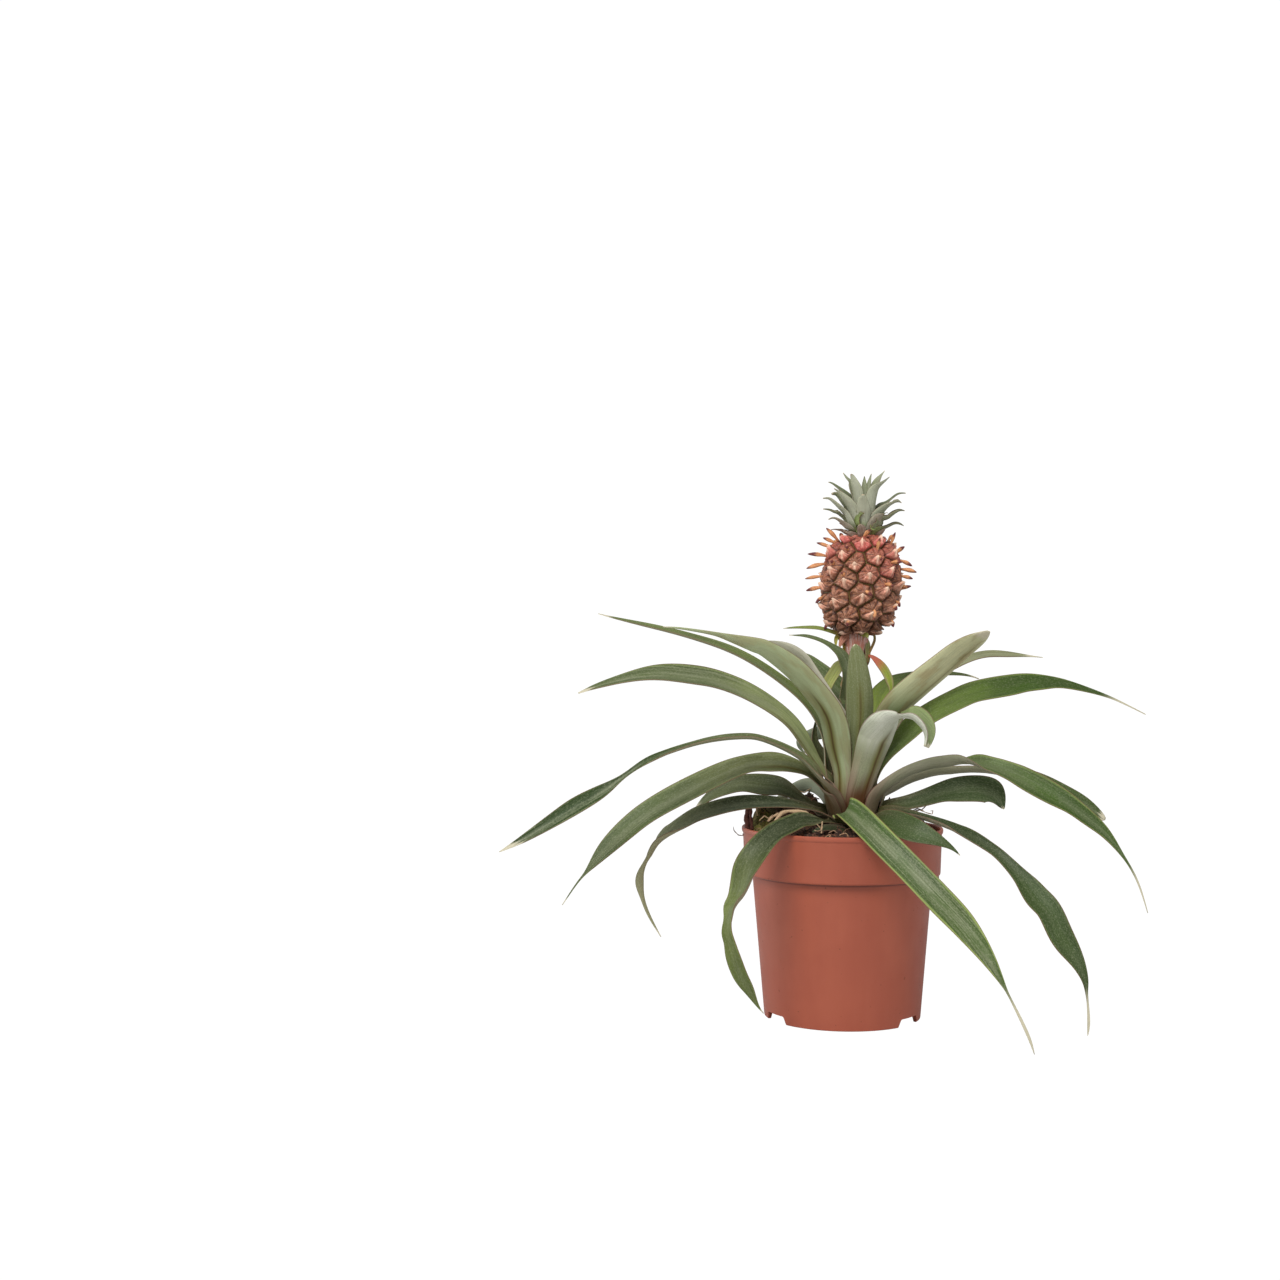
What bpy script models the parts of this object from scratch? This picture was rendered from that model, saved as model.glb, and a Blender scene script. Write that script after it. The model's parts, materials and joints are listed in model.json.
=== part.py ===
"""A young fruiting pineapple plant in its nursery pot.

The pot stands on its foot ring round the origin, the front is towards -Y and up is +Z. The source
works in millimetres and turns each finished mesh into metres at the end.
"""

import math
from dataclasses import dataclass

import bmesh
import bpy
import numpy as np
from mathutils import Vector

MM = 0.001
FIT_GAP = 0.35

# Viewing point from which the leaf lines are laid out: each station of a line is given across and
# up on the pot's middle plane, as it looks from this point, and by how far it lies towards it.
VIEW_X = -122.4
VIEW_DISTANCE = 1050.0
VIEW_HEIGHT = 227.0

# Pot
POT_HEIGHT = 114.0
LIP_RADIUS = 60.6
COLLAR_TOP_RADIUS = 59.8
COLLAR_LOW_RADIUS = 59.0
STEP_HEIGHT = 86.0
BODY_TOP_RADIUS = 54.0
BODY_LOW_RADIUS = 47.0
WALL = 1.4
LIP_TALL = 3.0
FOOT_HEIGHT = 5.0
FLOOR = 1.6
POT_SIDES = 48
NOTCH_BEARINGS = (-30.0, -150.0, 90.0)
NOTCH_TOP_WIDTH = 19.0
NOTCH_LOW_WIDTH = 25.0
DRAIN_COUNT = 4
DRAIN_RADIUS = 4.0
DRAIN_RING_RADIUS = 27.0

# Soil
SOIL_SIDES = 36
SOIL_RINGS = 9
SOIL_LEVEL = 111.0
SOIL_SWELL = 2.6
SOIL_WALL_DROP = 1.5
HOLE_RADIUS = 16.5
HOLE_FLOOR = 106.0
# Lumps of bark and peat: bearing, distance from the middle, height, radius.
SOIL_LUMPS = (
    (25.0, 50.0, 7.5, 9.0),
    (38.0, 40.0, 5.5, 8.0),
    (8.0, 47.0, 4.0, 7.0),
    (165.0, 50.0, 4.5, 8.0),
    (188.0, 51.0, 3.5, 7.0),
    (140.0, 42.0, 5.0, 9.0),
    (80.0, 45.0, 4.0, 9.0),
    (108.0, 36.0, 3.0, 8.0),
    (215.0, 46.0, 2.0, 6.0),
)

# Stem, with the fruit's stalk on top of it
STEM_X = 7.0
STEM_LOW_Z = 110.0
STEM_HIGH_Z = 163.0
STEM_LOW_RADIUS = 13.5
STEM_HIGH_RADIUS = 5.5
STEM_LEAN = 3.5
STEM_SIDES = 20
STALK_FLARE = 2.5

# Fruit
FRUIT_X = 9.6
FRUIT_LEAN = 0.058
FRUIT_LOW_Z = 231.0
FRUIT_HIGH_Z = 290.0
FRUIT_RADIUS = 23.2
FRUIT_FULLNESS = 2.5
FRUIT_END_ROUNDING = 1.5
EYE_COUNT = 58
EYE_MARGIN = 2.0
EYE_RIM_SHARE = 0.55
EYE_HOLLOW = 0.4
EYE_END_TILT = 0.9
GOLDEN_ANGLE = math.radians(137.508)
SEAT_RADIUS = 8.5
SEAT_SIDES = 6
GROOVE_DEPTH = 1.3
EYE_RISE = 1.5
BRACT_RISE = 2.6
FLOWER_LENGTH = 9.0
FLOWER_LENGTH_RANGE = 0.25
FLOWER_RADIUS = 1.2
FLOWER_NECK_SHARE = 0.7
FLOWER_WAIST_SHARE = 0.6
FLOWER_LIFT = 0.45
FLOWER_SWAY = 0.12
FLOWER_TOP_Z = 285.0

# Crown of the fruit
CROWN_X = 13.8
CROWN_LOW_RADIUS = 8.0
CROWN_HIGH_RADIUS = 2.0
CROWN_CORE_HEIGHT = 21.0
CROWN_LEAVES = 28
CROWN_BLADE_LENGTH = 27.0
CROWN_BLADE_WIDTH = 9.5
CROWN_FOLD = 0.35
CROWN_LOW_TILT = 50.0
CROWN_HIGH_TILT = 4.0
CROWN_LOW_BEND = 60.0
CROWN_HIGH_BEND = 10.0
CROWN_STATIONS = 5
CROWN_SIDES = 12

# Leaf blades
BLADE_MIDDLE = 1.1
BLADE_EDGE = 0.7
LEAF_STATIONS = 13
BRACT_STATIONS = 7
WIDE_LEAF_POINTS = 5
NARROW_LEAF_POINTS = 3
NARROW_LEAF = 13.0
LINE_SAMPLES = 240
CHORD_POWER = 0.6


@dataclass(frozen=True)
class Leaf:
    """One strap leaf or bract; lengths in millimetres and angles in degrees.

    bearing and root say where it leaves the stem, line holds its stations (across, up, towards)
    as seen from the viewing point, rolls pairs of (share of the length, roll), curl the half
    angle of its channel, taper how late it narrows, sheath how far it hugs the stem and wave the
    height and number of the ripples along its edges.
    """

    name: str
    bearing: float
    root: float
    width: float
    curl: float
    taper: float
    rolls: tuple
    line: tuple
    sheath: float = 6.0
    base: float = 0.62
    wave: tuple = (0.0, 1.0)


LEVEL = ((0.0, 0.0), (1.0, 0.0))

LEAVES = (
    Leaf("leaf_front_small", -112, 113, 11, 30, 3.0, LEVEL, sheath=2,
         line=((4, 114, 24), (-3, 113.5, 33), (-11, 111, 42))),
    Leaf("leaf_back_low_right", 55, 115.3, 20, 30, 2.2, LEVEL, sheath=3,
         line=((20, 123, -22), (32, 125, -40), (42, 122, -60), (50, 110, -78), (56, 90, -92), (58, 70, -98))),
    Leaf("leaf_left_twisted", 196, 114.8, 19, 30, 2.6,
         ((0, 0), (0.25, -20), (0.5, -35), (0.62, -5), (0.8, 10), (1, 0)), sheath=5,
         line=((-19, 123.5, 6), (-37, 129, 10), (-56, 129, 13), (-74, 127, 16), (-89, 122, 19), (-103, 114, 22),
               (-114, 102, 26), (-122, 89, 29), (-123, 78, 31), (-119, 63, 32), (-109.7, 47, 33))),
    Leaf("leaf_right_short", -70, 115.8, 21, 25, 2.4, ((0, 0), (0.45, 12), (0.68, 40), (1, 45)), sheath=3,
         base=0.5, line=((16, 117.5, 25), (27, 117.5, 44), (40, 113.5, 57), (54, 106, 64), (71, 97, 66))),
    Leaf("leaf_back_low_left", 125, 117.7, 20, 30, 2.2, LEVEL, sheath=3,
         line=((-8, 126, -20), (-18, 131, -38), (-30, 132, -60), (-42, 122, -82), (-52, 104, -98), (-58, 82, -108))),
    Leaf("leaf_front_left", -134, 119.1, 16, 30, 3.0, ((0, 0), (0.3, -20), (0.6, 10), (0.7, -40), (1, -30)),
         sheath=2, base=0.5,
         line=((-8, 119, 20), (-22, 119.5, 36), (-38, 112, 52), (-51, 99, 64), (-59, 85, 71), (-65, 68, 75),
               (-67.5, 51, 77), (-66, 34, 76), (-59, 18, 74), (-48, 1, 70))),
    Leaf("leaf_right_wavy", -36, 121.2, 19, 28, 2.2, ((0, 0), (0.4, 5), (0.55, 40), (1, 30)), sheath=2,
         wave=(2.0, 3.0),
         line=((24, 123.5, 11), (39, 122, 25), (58, 116, 44), (78, 106, 62), (98, 94, 78), (116, 78, 90),
               (130, 58, 100), (141, 38, 106), (148, 13, 111), (149, -12, 113))),
    Leaf("leaf_left_pale", 128, 120.9, 16, 35, 2.4, LEVEL, sheath=3,
         line=((-10, 129, -20), (-20, 137, -30), (-34, 136, -42), (-44, 125, -52))),
    Leaf("leaf_front_long", -96, 120, 25, 32, 1.7, ((0, 0), (0.06, 0), (0.16, 25), (0.3, 12), (1, 0)), sheath=5,
         line=((6, 125, 30), (19, 114.5, 57), (38, 92, 77), (60, 69, 92), (80, 46, 103), (96, 22, 111),
               (105, 1, 116), (116, -24, 118))),
    Leaf("leaf_right_behind", 27, 125, 17, 30, 2.2, ((0, 0), (0.3, 20), (1, 40)),
         line=((30, 139, -13), (53, 149, -20), (87, 150, -27), (122, 144, -34), (144, 134, -38), (159.5, 119, -41))),
    Leaf("leaf_left_under", 165, 122.5, 18, 30, 2.4, ((0, 0), (0.25, 0), (0.5, -20), (1, -30)), base=0.5,
         line=((-18, 131, -6), (-34, 137, -8), (-53, 139, -9), (-71, 135, -9), (-83, 129, -8), (-91, 116.5, -7))),
    Leaf("leaf_right_bent", -9, 122.8, 22, 28, 4.0, ((0, 0), (0.2, 10), (0.45, 35), (1, 50)), sheath=2,
         line=((32, 128.2, 4), (47, 133, 7), (63, 136.5, 10), (81, 137.5, 13), (92, 135, 15), (97, 126, 16))),
    Leaf("leaf_left_wide", -160, 127.5, 25, 34, 1.9, ((0, 0), (0.35, -35), (1, -40)), base=0.5,
         line=((-13, 137, 8), (-28, 145, 13), (-47, 149, 18), (-65, 148, 24), (-86, 139.5, 30), (-107, 127, 36),
               (-128, 111, 42), (-148, 92, 46), (-169.7, 66.4, 50))),
    Leaf("leaf_right_long", -25, 128.5, 22, 36, 2.0, ((0, 0), (0.3, 10), (0.5, 30), (1, 30)),
         line=((29, 140, 8), (45, 151, 13), (62, 154, 18), (87, 153, 26), (111, 144, 34), (136, 130, 41),
               (157, 113, 46), (173, 91, 50), (185.5, 61.5, 52))),
    Leaf("leaf_back_arched", 97, 130.5, 21, 35, 2.0, LEVEL,
         line=((6, 153, -20), (5, 176, -38), (4, 188, -62), (3, 188, -84), (2, 176, -102), (1, 156, -113),
               (0, 132, -118))),
    Leaf("leaf_left_long", -140, 131.5, 18, 38, 2.0, ((0, 0), (0.4, 0), (0.7, -25), (1, -20)),
         line=((-10, 141, 14), (-25, 152, 24), (-41, 161, 33), (-59, 166, 41), (-77, 165, 50), (-98, 159, 60),
               (-116, 150, 68), (-134, 139, 76), (-156, 126, 84), (-180, 113, 91), (-207.8, 98.5, 95))),
    Leaf("leaf_left_arched", 188, 134, 24, 33, 2.0, ((0, 0), (0.3, 35), (1, 40)),
         line=((-11, 151, 4), (-24, 168, 9), (-39, 183, 14), (-57, 195.5, 19), (-74, 203, 24), (-92, 208, 29),
               (-113, 209, 34), (-134, 206, 39), (-157, 197, 43))),
    Leaf("leaf_front_hooked", -82, 134, 20, 42, 3.5, ((0, 0), (0.4, 0), (1, 60)),
         line=((12, 146, 20), (15, 160, 29), (20, 173, 37), (29, 179, 43), (43, 180, 47), (53, 174, 49),
               (52, 163, 49))),
    Leaf("leaf_right_green", 24, 135, 29, 26, 2.2, ((0, 0), (0.35, 30), (1, 35)),
         line=((24, 151, -7), (36, 167, -14), (52, 182, -22), (71, 192, -30), (90, 198, -37), (108, 201, -43),
               (126, 201, -48), (147, 197, -53), (183.5, 182, -57))),
    Leaf("leaf_left_curled", 134, 136.3, 12, 30, 2.6, LEVEL,
         line=((-6, 150, -11), (-13, 163, -17), (-17, 176, -23), (-22, 180, -28), (-27, 171, -32), (-26, 161, -34))),
    Leaf("leaf_right_blunt", -38, 137.5, 27, 38, 5.0, ((0, 0), (0.3, -30), (1, -40)), base=0.5,
         line=((19, 153, 11), (25, 175, 24), (37, 190, 38), (51, 202, 52), (66, 214, 69), (80, 226, 90),
               (88.5, 232, 104))),
    Leaf("leaf_left_broad", -145, 138.5, 28, 36, 1.9, ((0, 0), (0.3, 30), (1, 40)), base=0.5,
         line=((-1, 158, 13), (-5, 181, 27), (-17.5, 202.5, 41), (-34, 217, 53), (-53, 225, 64), (-72, 230, 74),
               (-92, 233, 82), (-108.5, 234, 88))),
    Leaf("leaf_right_far", 30, 141, 18, 30, 2.2, ((0, 0), (0.5, 20), (1, 20)),
         line=((22, 165, -9), (38, 189, -16), (58, 208, -26), (80, 218, -38), (98, 219.5, -46), (121.8, 216.3, -54))),
    Leaf("leaf_left_thin", 162, 142, 15, 34, 2.0, ((0, 0), (0.4, -12), (1, -12)),
         line=((-8, 165, -8), (-21, 186, -14), (-35, 202, -19), (-54, 215, -26), (-73, 223, -32), (-98, 231, -39),
               (-122, 237.5, -45), (-146.6, 243, -51))),
    Leaf("leaf_front_upright", -92, 143.5, 16, 48, 2.4, LEVEL,
         line=((9.5, 168, 14), (9.7, 186, 19), (9.2, 205, 23), (7.8, 223, 26))),
    Leaf("leaf_back_right", 45, 146, 20, 34, 2.2, ((0, 0), (1, 15)), base=0.5,
         line=((18, 177, -14), (25, 194, -30), (37, 202, -44), (53, 206, -52), (69, 205, -62), (82.4, 203.4, -68))),
    Leaf("leaf_left_back", 130, 147.5, 20, 36, 2.4, LEVEL, base=0.5,
         line=((0, 178, -16), (-8, 199, -26), (-22, 212, -40), (-40, 221, -54), (-60, 225, -66), (-78, 224, -76))),
)

BRACTS = (
    Leaf("bract_left_low", 200, 190, 9, 40, 2, ((0, 0), (1, -20)), sheath=4,
         line=((-1, 212, 6), (-8, 223, 9), (-18, 229, 12), (-31.5, 230, 15))),
    Leaf("bract_left_hook", 172, 206, 7, 40, 4, LEVEL, sheath=2,
         line=((-1, 213.5, -2), (-6, 210, -2), (-10, 201, -2), (-11, 192, -1))),
    Leaf("bract_right_hook", -15, 211, 6, 40, 3, LEVEL, sheath=2,
         line=((18, 217, 4), (24.3, 213.7, 5), (29, 205, 6), (31, 195, 6))),
    Leaf("bract_back", 80, 215, 8, 50, 2, LEVEL, sheath=2,
         line=((11, 225, -12), (12, 226, -18), (12, 219, -25))),
    Leaf("bract_left_small", 150, 216, 5, 40, 2, LEVEL, sheath=2,
         line=((0, 226, -3), (-3, 224, -4), (-4, 218, -4))),
    Leaf("bract_front", -65, 216, 8, 45, 1.6, LEVEL, sheath=2,
         line=((11, 223, 9.5), (13, 227, 12), (15.5, 228, 15))),
    Leaf("bract_right_thin", 10, 219, 4, 40, 2, LEVEL, sheath=2,
         line=((18, 226, -2), (20.5, 225, -3), (18.5, 218, -4))),
    Leaf("bract_left_high", 188, 221, 6, 40, 2, ((0, 0), (1, -20)), sheath=2,
         line=((-4, 229, 3), (-16, 233, 5), (-34.5, 234, 8))),
)


def clear_scene() -> None:
    """Removes every object of the open scene."""
    for thing in list(bpy.data.objects):
        bpy.data.objects.remove(thing, do_unlink=True)


def make_material(name: str, colour: tuple, roughness: float) -> bpy.types.Material:
    """Returns a plain Principled material of one colour."""
    material = bpy.data.materials.new(name)
    material.use_nodes = True
    shader = material.node_tree.nodes["Principled BSDF"]
    shader.inputs["Base Color"].default_value = (*colour, 1.0)
    shader.inputs["Roughness"].default_value = roughness
    shader.inputs["Metallic"].default_value = 0.0
    return material


def add_mesh(name: str, points, faces, material: bpy.types.Material) -> bpy.types.Object:
    """Makes a named object of points in millimetres and faces, with its normals outwards."""
    mesh = bpy.data.meshes.new(name)
    mesh.from_pydata([tuple(float(value) * MM for value in point) for point in points], [], faces)
    shape = bmesh.new()
    shape.from_mesh(mesh)
    bmesh.ops.recalc_face_normals(shape, faces=shape.faces)
    shape.to_mesh(mesh)
    shape.free()
    mesh.materials.append(material)
    mesh.shade_smooth()
    mesh.set_sharp_from_angle(angle=math.radians(40))
    thing = bpy.data.objects.new(name, mesh)
    bpy.context.scene.collection.objects.link(thing)
    return thing


def ring_points(radius: float, height: float, sides: int, centre_x: float = 0.0, turn: float = 0.0) -> list:
    """Returns the points of a level circle."""
    angles = [2 * math.pi * (index + turn) / sides for index in range(sides)]
    return [(centre_x + radius * math.cos(angle), radius * math.sin(angle), height) for angle in angles]


def bridge_rings(first: int, second: int, sides: int) -> list:
    """Returns the quads between two closed rings that start at the given point numbers."""
    return [(first + i, first + (i + 1) % sides, second + (i + 1) % sides, second + i) for i in range(sides)]


def closed_turned_body(rings: list, sides: int) -> tuple:
    """Joins a list of rings into one closed skin whose first and last rings are filled with fans."""
    points = [point for ring in rings for point in ring]
    faces = []
    for number in range(len(rings) - 1):
        faces += bridge_rings(number * sides, (number + 1) * sides, sides)
    for start in (0, (len(rings) - 1) * sides):
        middle = np.mean(points[start:start + sides], axis=0)
        points.append(tuple(middle))
        hub = len(points) - 1
        faces += [(start + i, start + (i + 1) % sides, hub) for i in range(sides)]
    return points, faces


# Pot

def pot_profile() -> list:
    """Returns the pot's section as (radius, height), from its inner floor over the lip to its foot."""
    lip_low = POT_HEIGHT - LIP_TALL
    floor_top = FOOT_HEIGHT + FLOOR
    return [
        (BODY_LOW_RADIUS - WALL, floor_top),
        (BODY_TOP_RADIUS - WALL, STEP_HEIGHT - WALL),
        (COLLAR_LOW_RADIUS - WALL, STEP_HEIGHT + WALL),
        (COLLAR_TOP_RADIUS - WALL, lip_low),
        (COLLAR_TOP_RADIUS - 0.7 * WALL, POT_HEIGHT - 0.4),
        (COLLAR_TOP_RADIUS - 0.2 * WALL, POT_HEIGHT),
        (LIP_RADIUS - 0.3, POT_HEIGHT - 0.3),
        (LIP_RADIUS, POT_HEIGHT - 0.3 * LIP_TALL),
        (LIP_RADIUS - 0.2, lip_low + 0.3),
        (COLLAR_TOP_RADIUS, lip_low - 0.4),
        (COLLAR_LOW_RADIUS, STEP_HEIGHT + 0.8),
        (COLLAR_LOW_RADIUS - 0.8, STEP_HEIGHT),
        (BODY_TOP_RADIUS + 0.6, STEP_HEIGHT - 0.5),
        (BODY_TOP_RADIUS, STEP_HEIGHT - 1.6),
        (BODY_LOW_RADIUS, 0.0),
        (BODY_LOW_RADIUS - 1.6 * WALL, 0.0),
        (BODY_LOW_RADIUS - 1.9 * WALL, FOOT_HEIGHT),
    ]


def notch_cutter(bearing: float) -> bpy.types.Object:
    """Returns a block with leaning sides that opens one notch in the foot ring."""
    half_low = NOTCH_LOW_WIDTH / 2
    half_top = NOTCH_TOP_WIDTH / 2
    section = ((-half_low, -1.0), (half_low, -1.0), (half_top, FOOT_HEIGHT - 0.3), (-half_top, FOOT_HEIGHT - 0.3))
    inner = BODY_LOW_RADIUS - 8.0
    outer = BODY_LOW_RADIUS + 4.0
    angle = math.radians(bearing)
    forward = np.array([math.cos(angle), math.sin(angle), 0.0])
    side = np.array([-math.sin(angle), math.cos(angle), 0.0])
    points = []
    for reach in (inner, outer):
        for across, height in section:
            points.append(forward * reach + side * across + np.array([0.0, 0.0, height]))
    faces = [(0, 1, 2, 3), (4, 5, 6, 7)] + bridge_rings(0, 4, 4)
    return add_mesh(f"notch_cutter_{bearing:.0f}", points, faces, make_material("cutter", (0.5, 0.5, 0.5), 0.5))


def drain_cutter(number: int) -> bpy.types.Object:
    """Returns a post that opens one drain hole in the pot's floor."""
    angle = 2 * math.pi * (number + 0.5) / DRAIN_COUNT
    middle = (DRAIN_RING_RADIUS * math.cos(angle), DRAIN_RING_RADIUS * math.sin(angle))
    rings = []
    for height in (FOOT_HEIGHT - 2.0, FOOT_HEIGHT + FLOOR + 2.0):
        rings.append([(x + middle[0], y + middle[1], z) for x, y, z in ring_points(DRAIN_RADIUS, height, 12)])
    points, faces = closed_turned_body(rings, 12)
    return add_mesh(f"drain_cutter_{number}", points, faces, make_material("cutter", (0.5, 0.5, 0.5), 0.5))


def cut_with(body: bpy.types.Object, cutters: list) -> None:
    """Cuts the body with each cutter, which stays in the scene as a hidden guide."""
    for cutter in cutters:
        cutter.hide_render = True
        cutter.display_type = "WIRE"
        cut = body.modifiers.new(cutter.name, "BOOLEAN")
        cut.operation = "DIFFERENCE"
        cut.solver = "EXACT"
        cut.object = cutter


def build_pot() -> None:
    """Builds the stepped nursery pot with its rolled lip, notched foot ring and drain holes."""
    rings = [ring_points(radius, height, POT_SIDES, turn=0.5) for radius, height in pot_profile()]
    points, faces = closed_turned_body(rings, POT_SIDES)
    pot = add_mesh("pot", points, faces, make_material("terracotta_plastic", (0.37, 0.10, 0.06), 0.45))
    cutters = [notch_cutter(bearing) for bearing in NOTCH_BEARINGS]
    cutters += [drain_cutter(number) for number in range(DRAIN_COUNT)]
    cut_with(pot, cutters)


# Soil

def soil_height(x: float, y: float) -> float:
    """Returns the soil's level: a low ring-shaped swell, fine unevenness and the named lumps."""
    radius = math.hypot(x, y)
    share = min(max((radius - HOLE_RADIUS) / (COLLAR_TOP_RADIUS - WALL - HOLE_RADIUS), 0.0), 1.0)
    height = SOIL_LEVEL + SOIL_SWELL * math.sin(math.pi * share) - SOIL_WALL_DROP * share
    height += 0.45 * math.sin(0.31 * x + 0.4) * math.sin(0.27 * y + 1.1)
    height += 0.35 * math.sin(0.83 * x - 0.51 * y)
    for bearing, distance, tall, spread in SOIL_LUMPS:
        angle = math.radians(bearing)
        away = math.hypot(x - distance * math.cos(angle), y - distance * math.sin(angle))
        height += tall * math.exp(-((away / spread) ** 2)) * (1.0 - share ** 6)
    return height


def build_soil() -> None:
    """Builds the soil that fills the pot, with an uneven top and a plain hole for the stem."""
    gap = FIT_GAP
    low = FOOT_HEIGHT + FLOOR + gap
    low_radius = BODY_LOW_RADIUS - WALL - gap
    step_radius = BODY_TOP_RADIUS - WALL - gap
    collar_radius = COLLAR_LOW_RADIUS - WALL - gap
    top_radius = COLLAR_TOP_RADIUS - WALL - 2 * gap
    rings = [
        ring_points(low_radius, low, SOIL_SIDES),
        ring_points(step_radius - gap, STEP_HEIGHT - WALL, SOIL_SIDES),
        ring_points(collar_radius - 2 * gap, STEP_HEIGHT + WALL + gap, SOIL_SIDES),
    ]
    for number in range(SOIL_RINGS + 1):
        share = number / SOIL_RINGS
        radius = top_radius + (HOLE_RADIUS - top_radius) * share
        middle_x = STEM_X * share
        ring = ring_points(radius, 0.0, SOIL_SIDES, middle_x, 0.5 * (number % 2))
        rings.append([(x, y, soil_height(x, y)) for x, y, _ in ring])
    rings.append(ring_points(HOLE_RADIUS, HOLE_FLOOR, SOIL_SIDES, STEM_X, 0.5 * (SOIL_RINGS % 2)))
    points, faces = closed_turned_body(rings, SOIL_SIDES)
    add_mesh("soil", points, triangulate_alike(faces), make_material("peat", (0.05, 0.03, 0.02), 0.95))


def triangulate_alike(faces: list) -> list:
    """Splits each four-cornered face along its first diagonal."""
    parts = []
    for face in faces:
        if len(face) == 4:
            parts += [(face[0], face[1], face[2]), (face[0], face[2], face[3])]
        else:
            parts.append(face)
    return parts


# Stem and leaves

def axis_x(height: float) -> float:
    """Returns how far right the leaning stem's middle lies at a height."""
    share = max(height - STEM_LOW_Z, 0.0) / (FRUIT_LOW_Z - STEM_LOW_Z)
    return STEM_X + STEM_LEAN * share ** 2


def stem_radius(height: float) -> float:
    """Returns the stem's radius, a cone that ends in the fruit's even stalk."""
    share = min(max((height - STEM_LOW_Z) / (STEM_HIGH_Z - STEM_LOW_Z), 0.0), 1.0)
    return STEM_LOW_RADIUS + (STEM_HIGH_RADIUS - STEM_LOW_RADIUS) * share


def build_stem() -> None:
    """Builds the stem and the fruit's stalk as one body that stands in the soil's hole."""
    heights = [HOLE_FLOOR + FIT_GAP, STEM_LOW_Z, 120.0, 130.0, 140.0, 151.0, STEM_HIGH_Z, 183.0, 203.0, 218.0, 226.0]
    rings = [ring_points(stem_radius(height), height, STEM_SIDES, axis_x(height)) for height in heights]
    top = FRUIT_LOW_Z - FIT_GAP
    rings.append(ring_points(STEM_HIGH_RADIUS + STALK_FLARE, top, STEM_SIDES, axis_x(top)))
    points, faces = closed_turned_body(rings, STEM_SIDES)
    add_mesh("stem", points, faces, make_material("stalk_skin", (0.38, 0.24, 0.16), 0.6))


def seen_point(across: float, up: float, towards: float) -> np.ndarray:
    """Returns the real place of a station that is given as it looks from the viewing point."""
    scale = (VIEW_DISTANCE - towards) / VIEW_DISTANCE
    x = VIEW_X + (across - VIEW_X) * scale
    z = VIEW_HEIGHT + (up - VIEW_HEIGHT) * scale
    return np.array([x, -towards, z])


def smooth_line(stations: list, count: int) -> np.ndarray:
    """Reads a natural cubic spline through the stations at equal steps along its length."""
    stations = np.asarray(stations, dtype=float)
    chords = np.linalg.norm(np.diff(stations, axis=0), axis=1) ** CHORD_POWER
    knots = np.concatenate([[0.0], np.cumsum(chords)])
    size = len(stations)
    system = np.eye(size)
    right = np.zeros((size, 3))
    for i in range(1, size - 1):
        system[i, i - 1:i + 2] = (chords[i - 1], 2 * (chords[i - 1] + chords[i]), chords[i])
        ahead = (stations[i + 1] - stations[i]) / chords[i]
        behind = (stations[i] - stations[i - 1]) / chords[i - 1]
        right[i] = 6 * (ahead - behind)
    bends = np.linalg.solve(system, right)
    places = np.linspace(0.0, knots[-1], LINE_SAMPLES)
    span = np.clip(np.searchsorted(knots, places) - 1, 0, size - 2)
    step = chords[span]
    before = ((knots[span + 1] - places) / step)[:, None]
    after = 1.0 - before
    curve = before * stations[span] + after * stations[span + 1]
    curve += ((before ** 3 - before) * bends[span] + (after ** 3 - after) * bends[span + 1]) * step[:, None] ** 2 / 6
    run = np.concatenate([[0.0], np.cumsum(np.linalg.norm(np.diff(curve, axis=0), axis=1))])
    wanted = np.linspace(0.0, run[-1], count)
    return np.stack([np.interp(wanted, run, curve[:, axis]) for axis in range(3)], axis=-1)


def leaf_line(leaf: Leaf, count: int) -> np.ndarray:
    """Returns the leaf's middle line from its root on the stem to its tip."""
    angle = math.radians(leaf.bearing)
    outward = np.array([math.cos(angle), math.sin(angle), 0.0])
    clear = FIT_GAP + BLADE_MIDDLE / 2
    stations = []
    for rise in (0.0, leaf.sheath):
        height = leaf.root + rise
        reach = stem_radius(height) + clear + 0.3 * rise
        stations.append(np.array([axis_x(height), 0.0, height]) + reach * outward)
    stations += [seen_point(*station) for station in leaf.line]
    return smooth_line(stations, count)


def line_frames(points: np.ndarray, bearing: float) -> tuple:
    """Carries a level side direction along the line without twisting it, and its upper normal."""
    tangents = np.gradient(points, axis=0)
    tangents /= np.linalg.norm(tangents, axis=1)[:, None]
    angle = math.radians(bearing)
    side = np.array([-math.sin(angle), math.cos(angle), 0.0])
    sides = []
    for tangent in tangents:
        side = side - tangent * side.dot(tangent)
        side = side / np.linalg.norm(side)
        sides.append(side)
    sides = np.array(sides)
    return sides, np.cross(tangents, sides)


def half_widths(leaf: Leaf, shares: np.ndarray) -> np.ndarray:
    """Returns half the blade's width: a clasping base, a swell and a drawn-out point."""
    swell = leaf.base + (1 - leaf.base) * np.sin(np.clip(shares / 0.35, 0, 1) * math.pi / 2)
    point = (1 - shares ** leaf.taper) ** 0.85
    return np.maximum(leaf.width / 2 * swell * point, BLADE_EDGE / 2)


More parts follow.
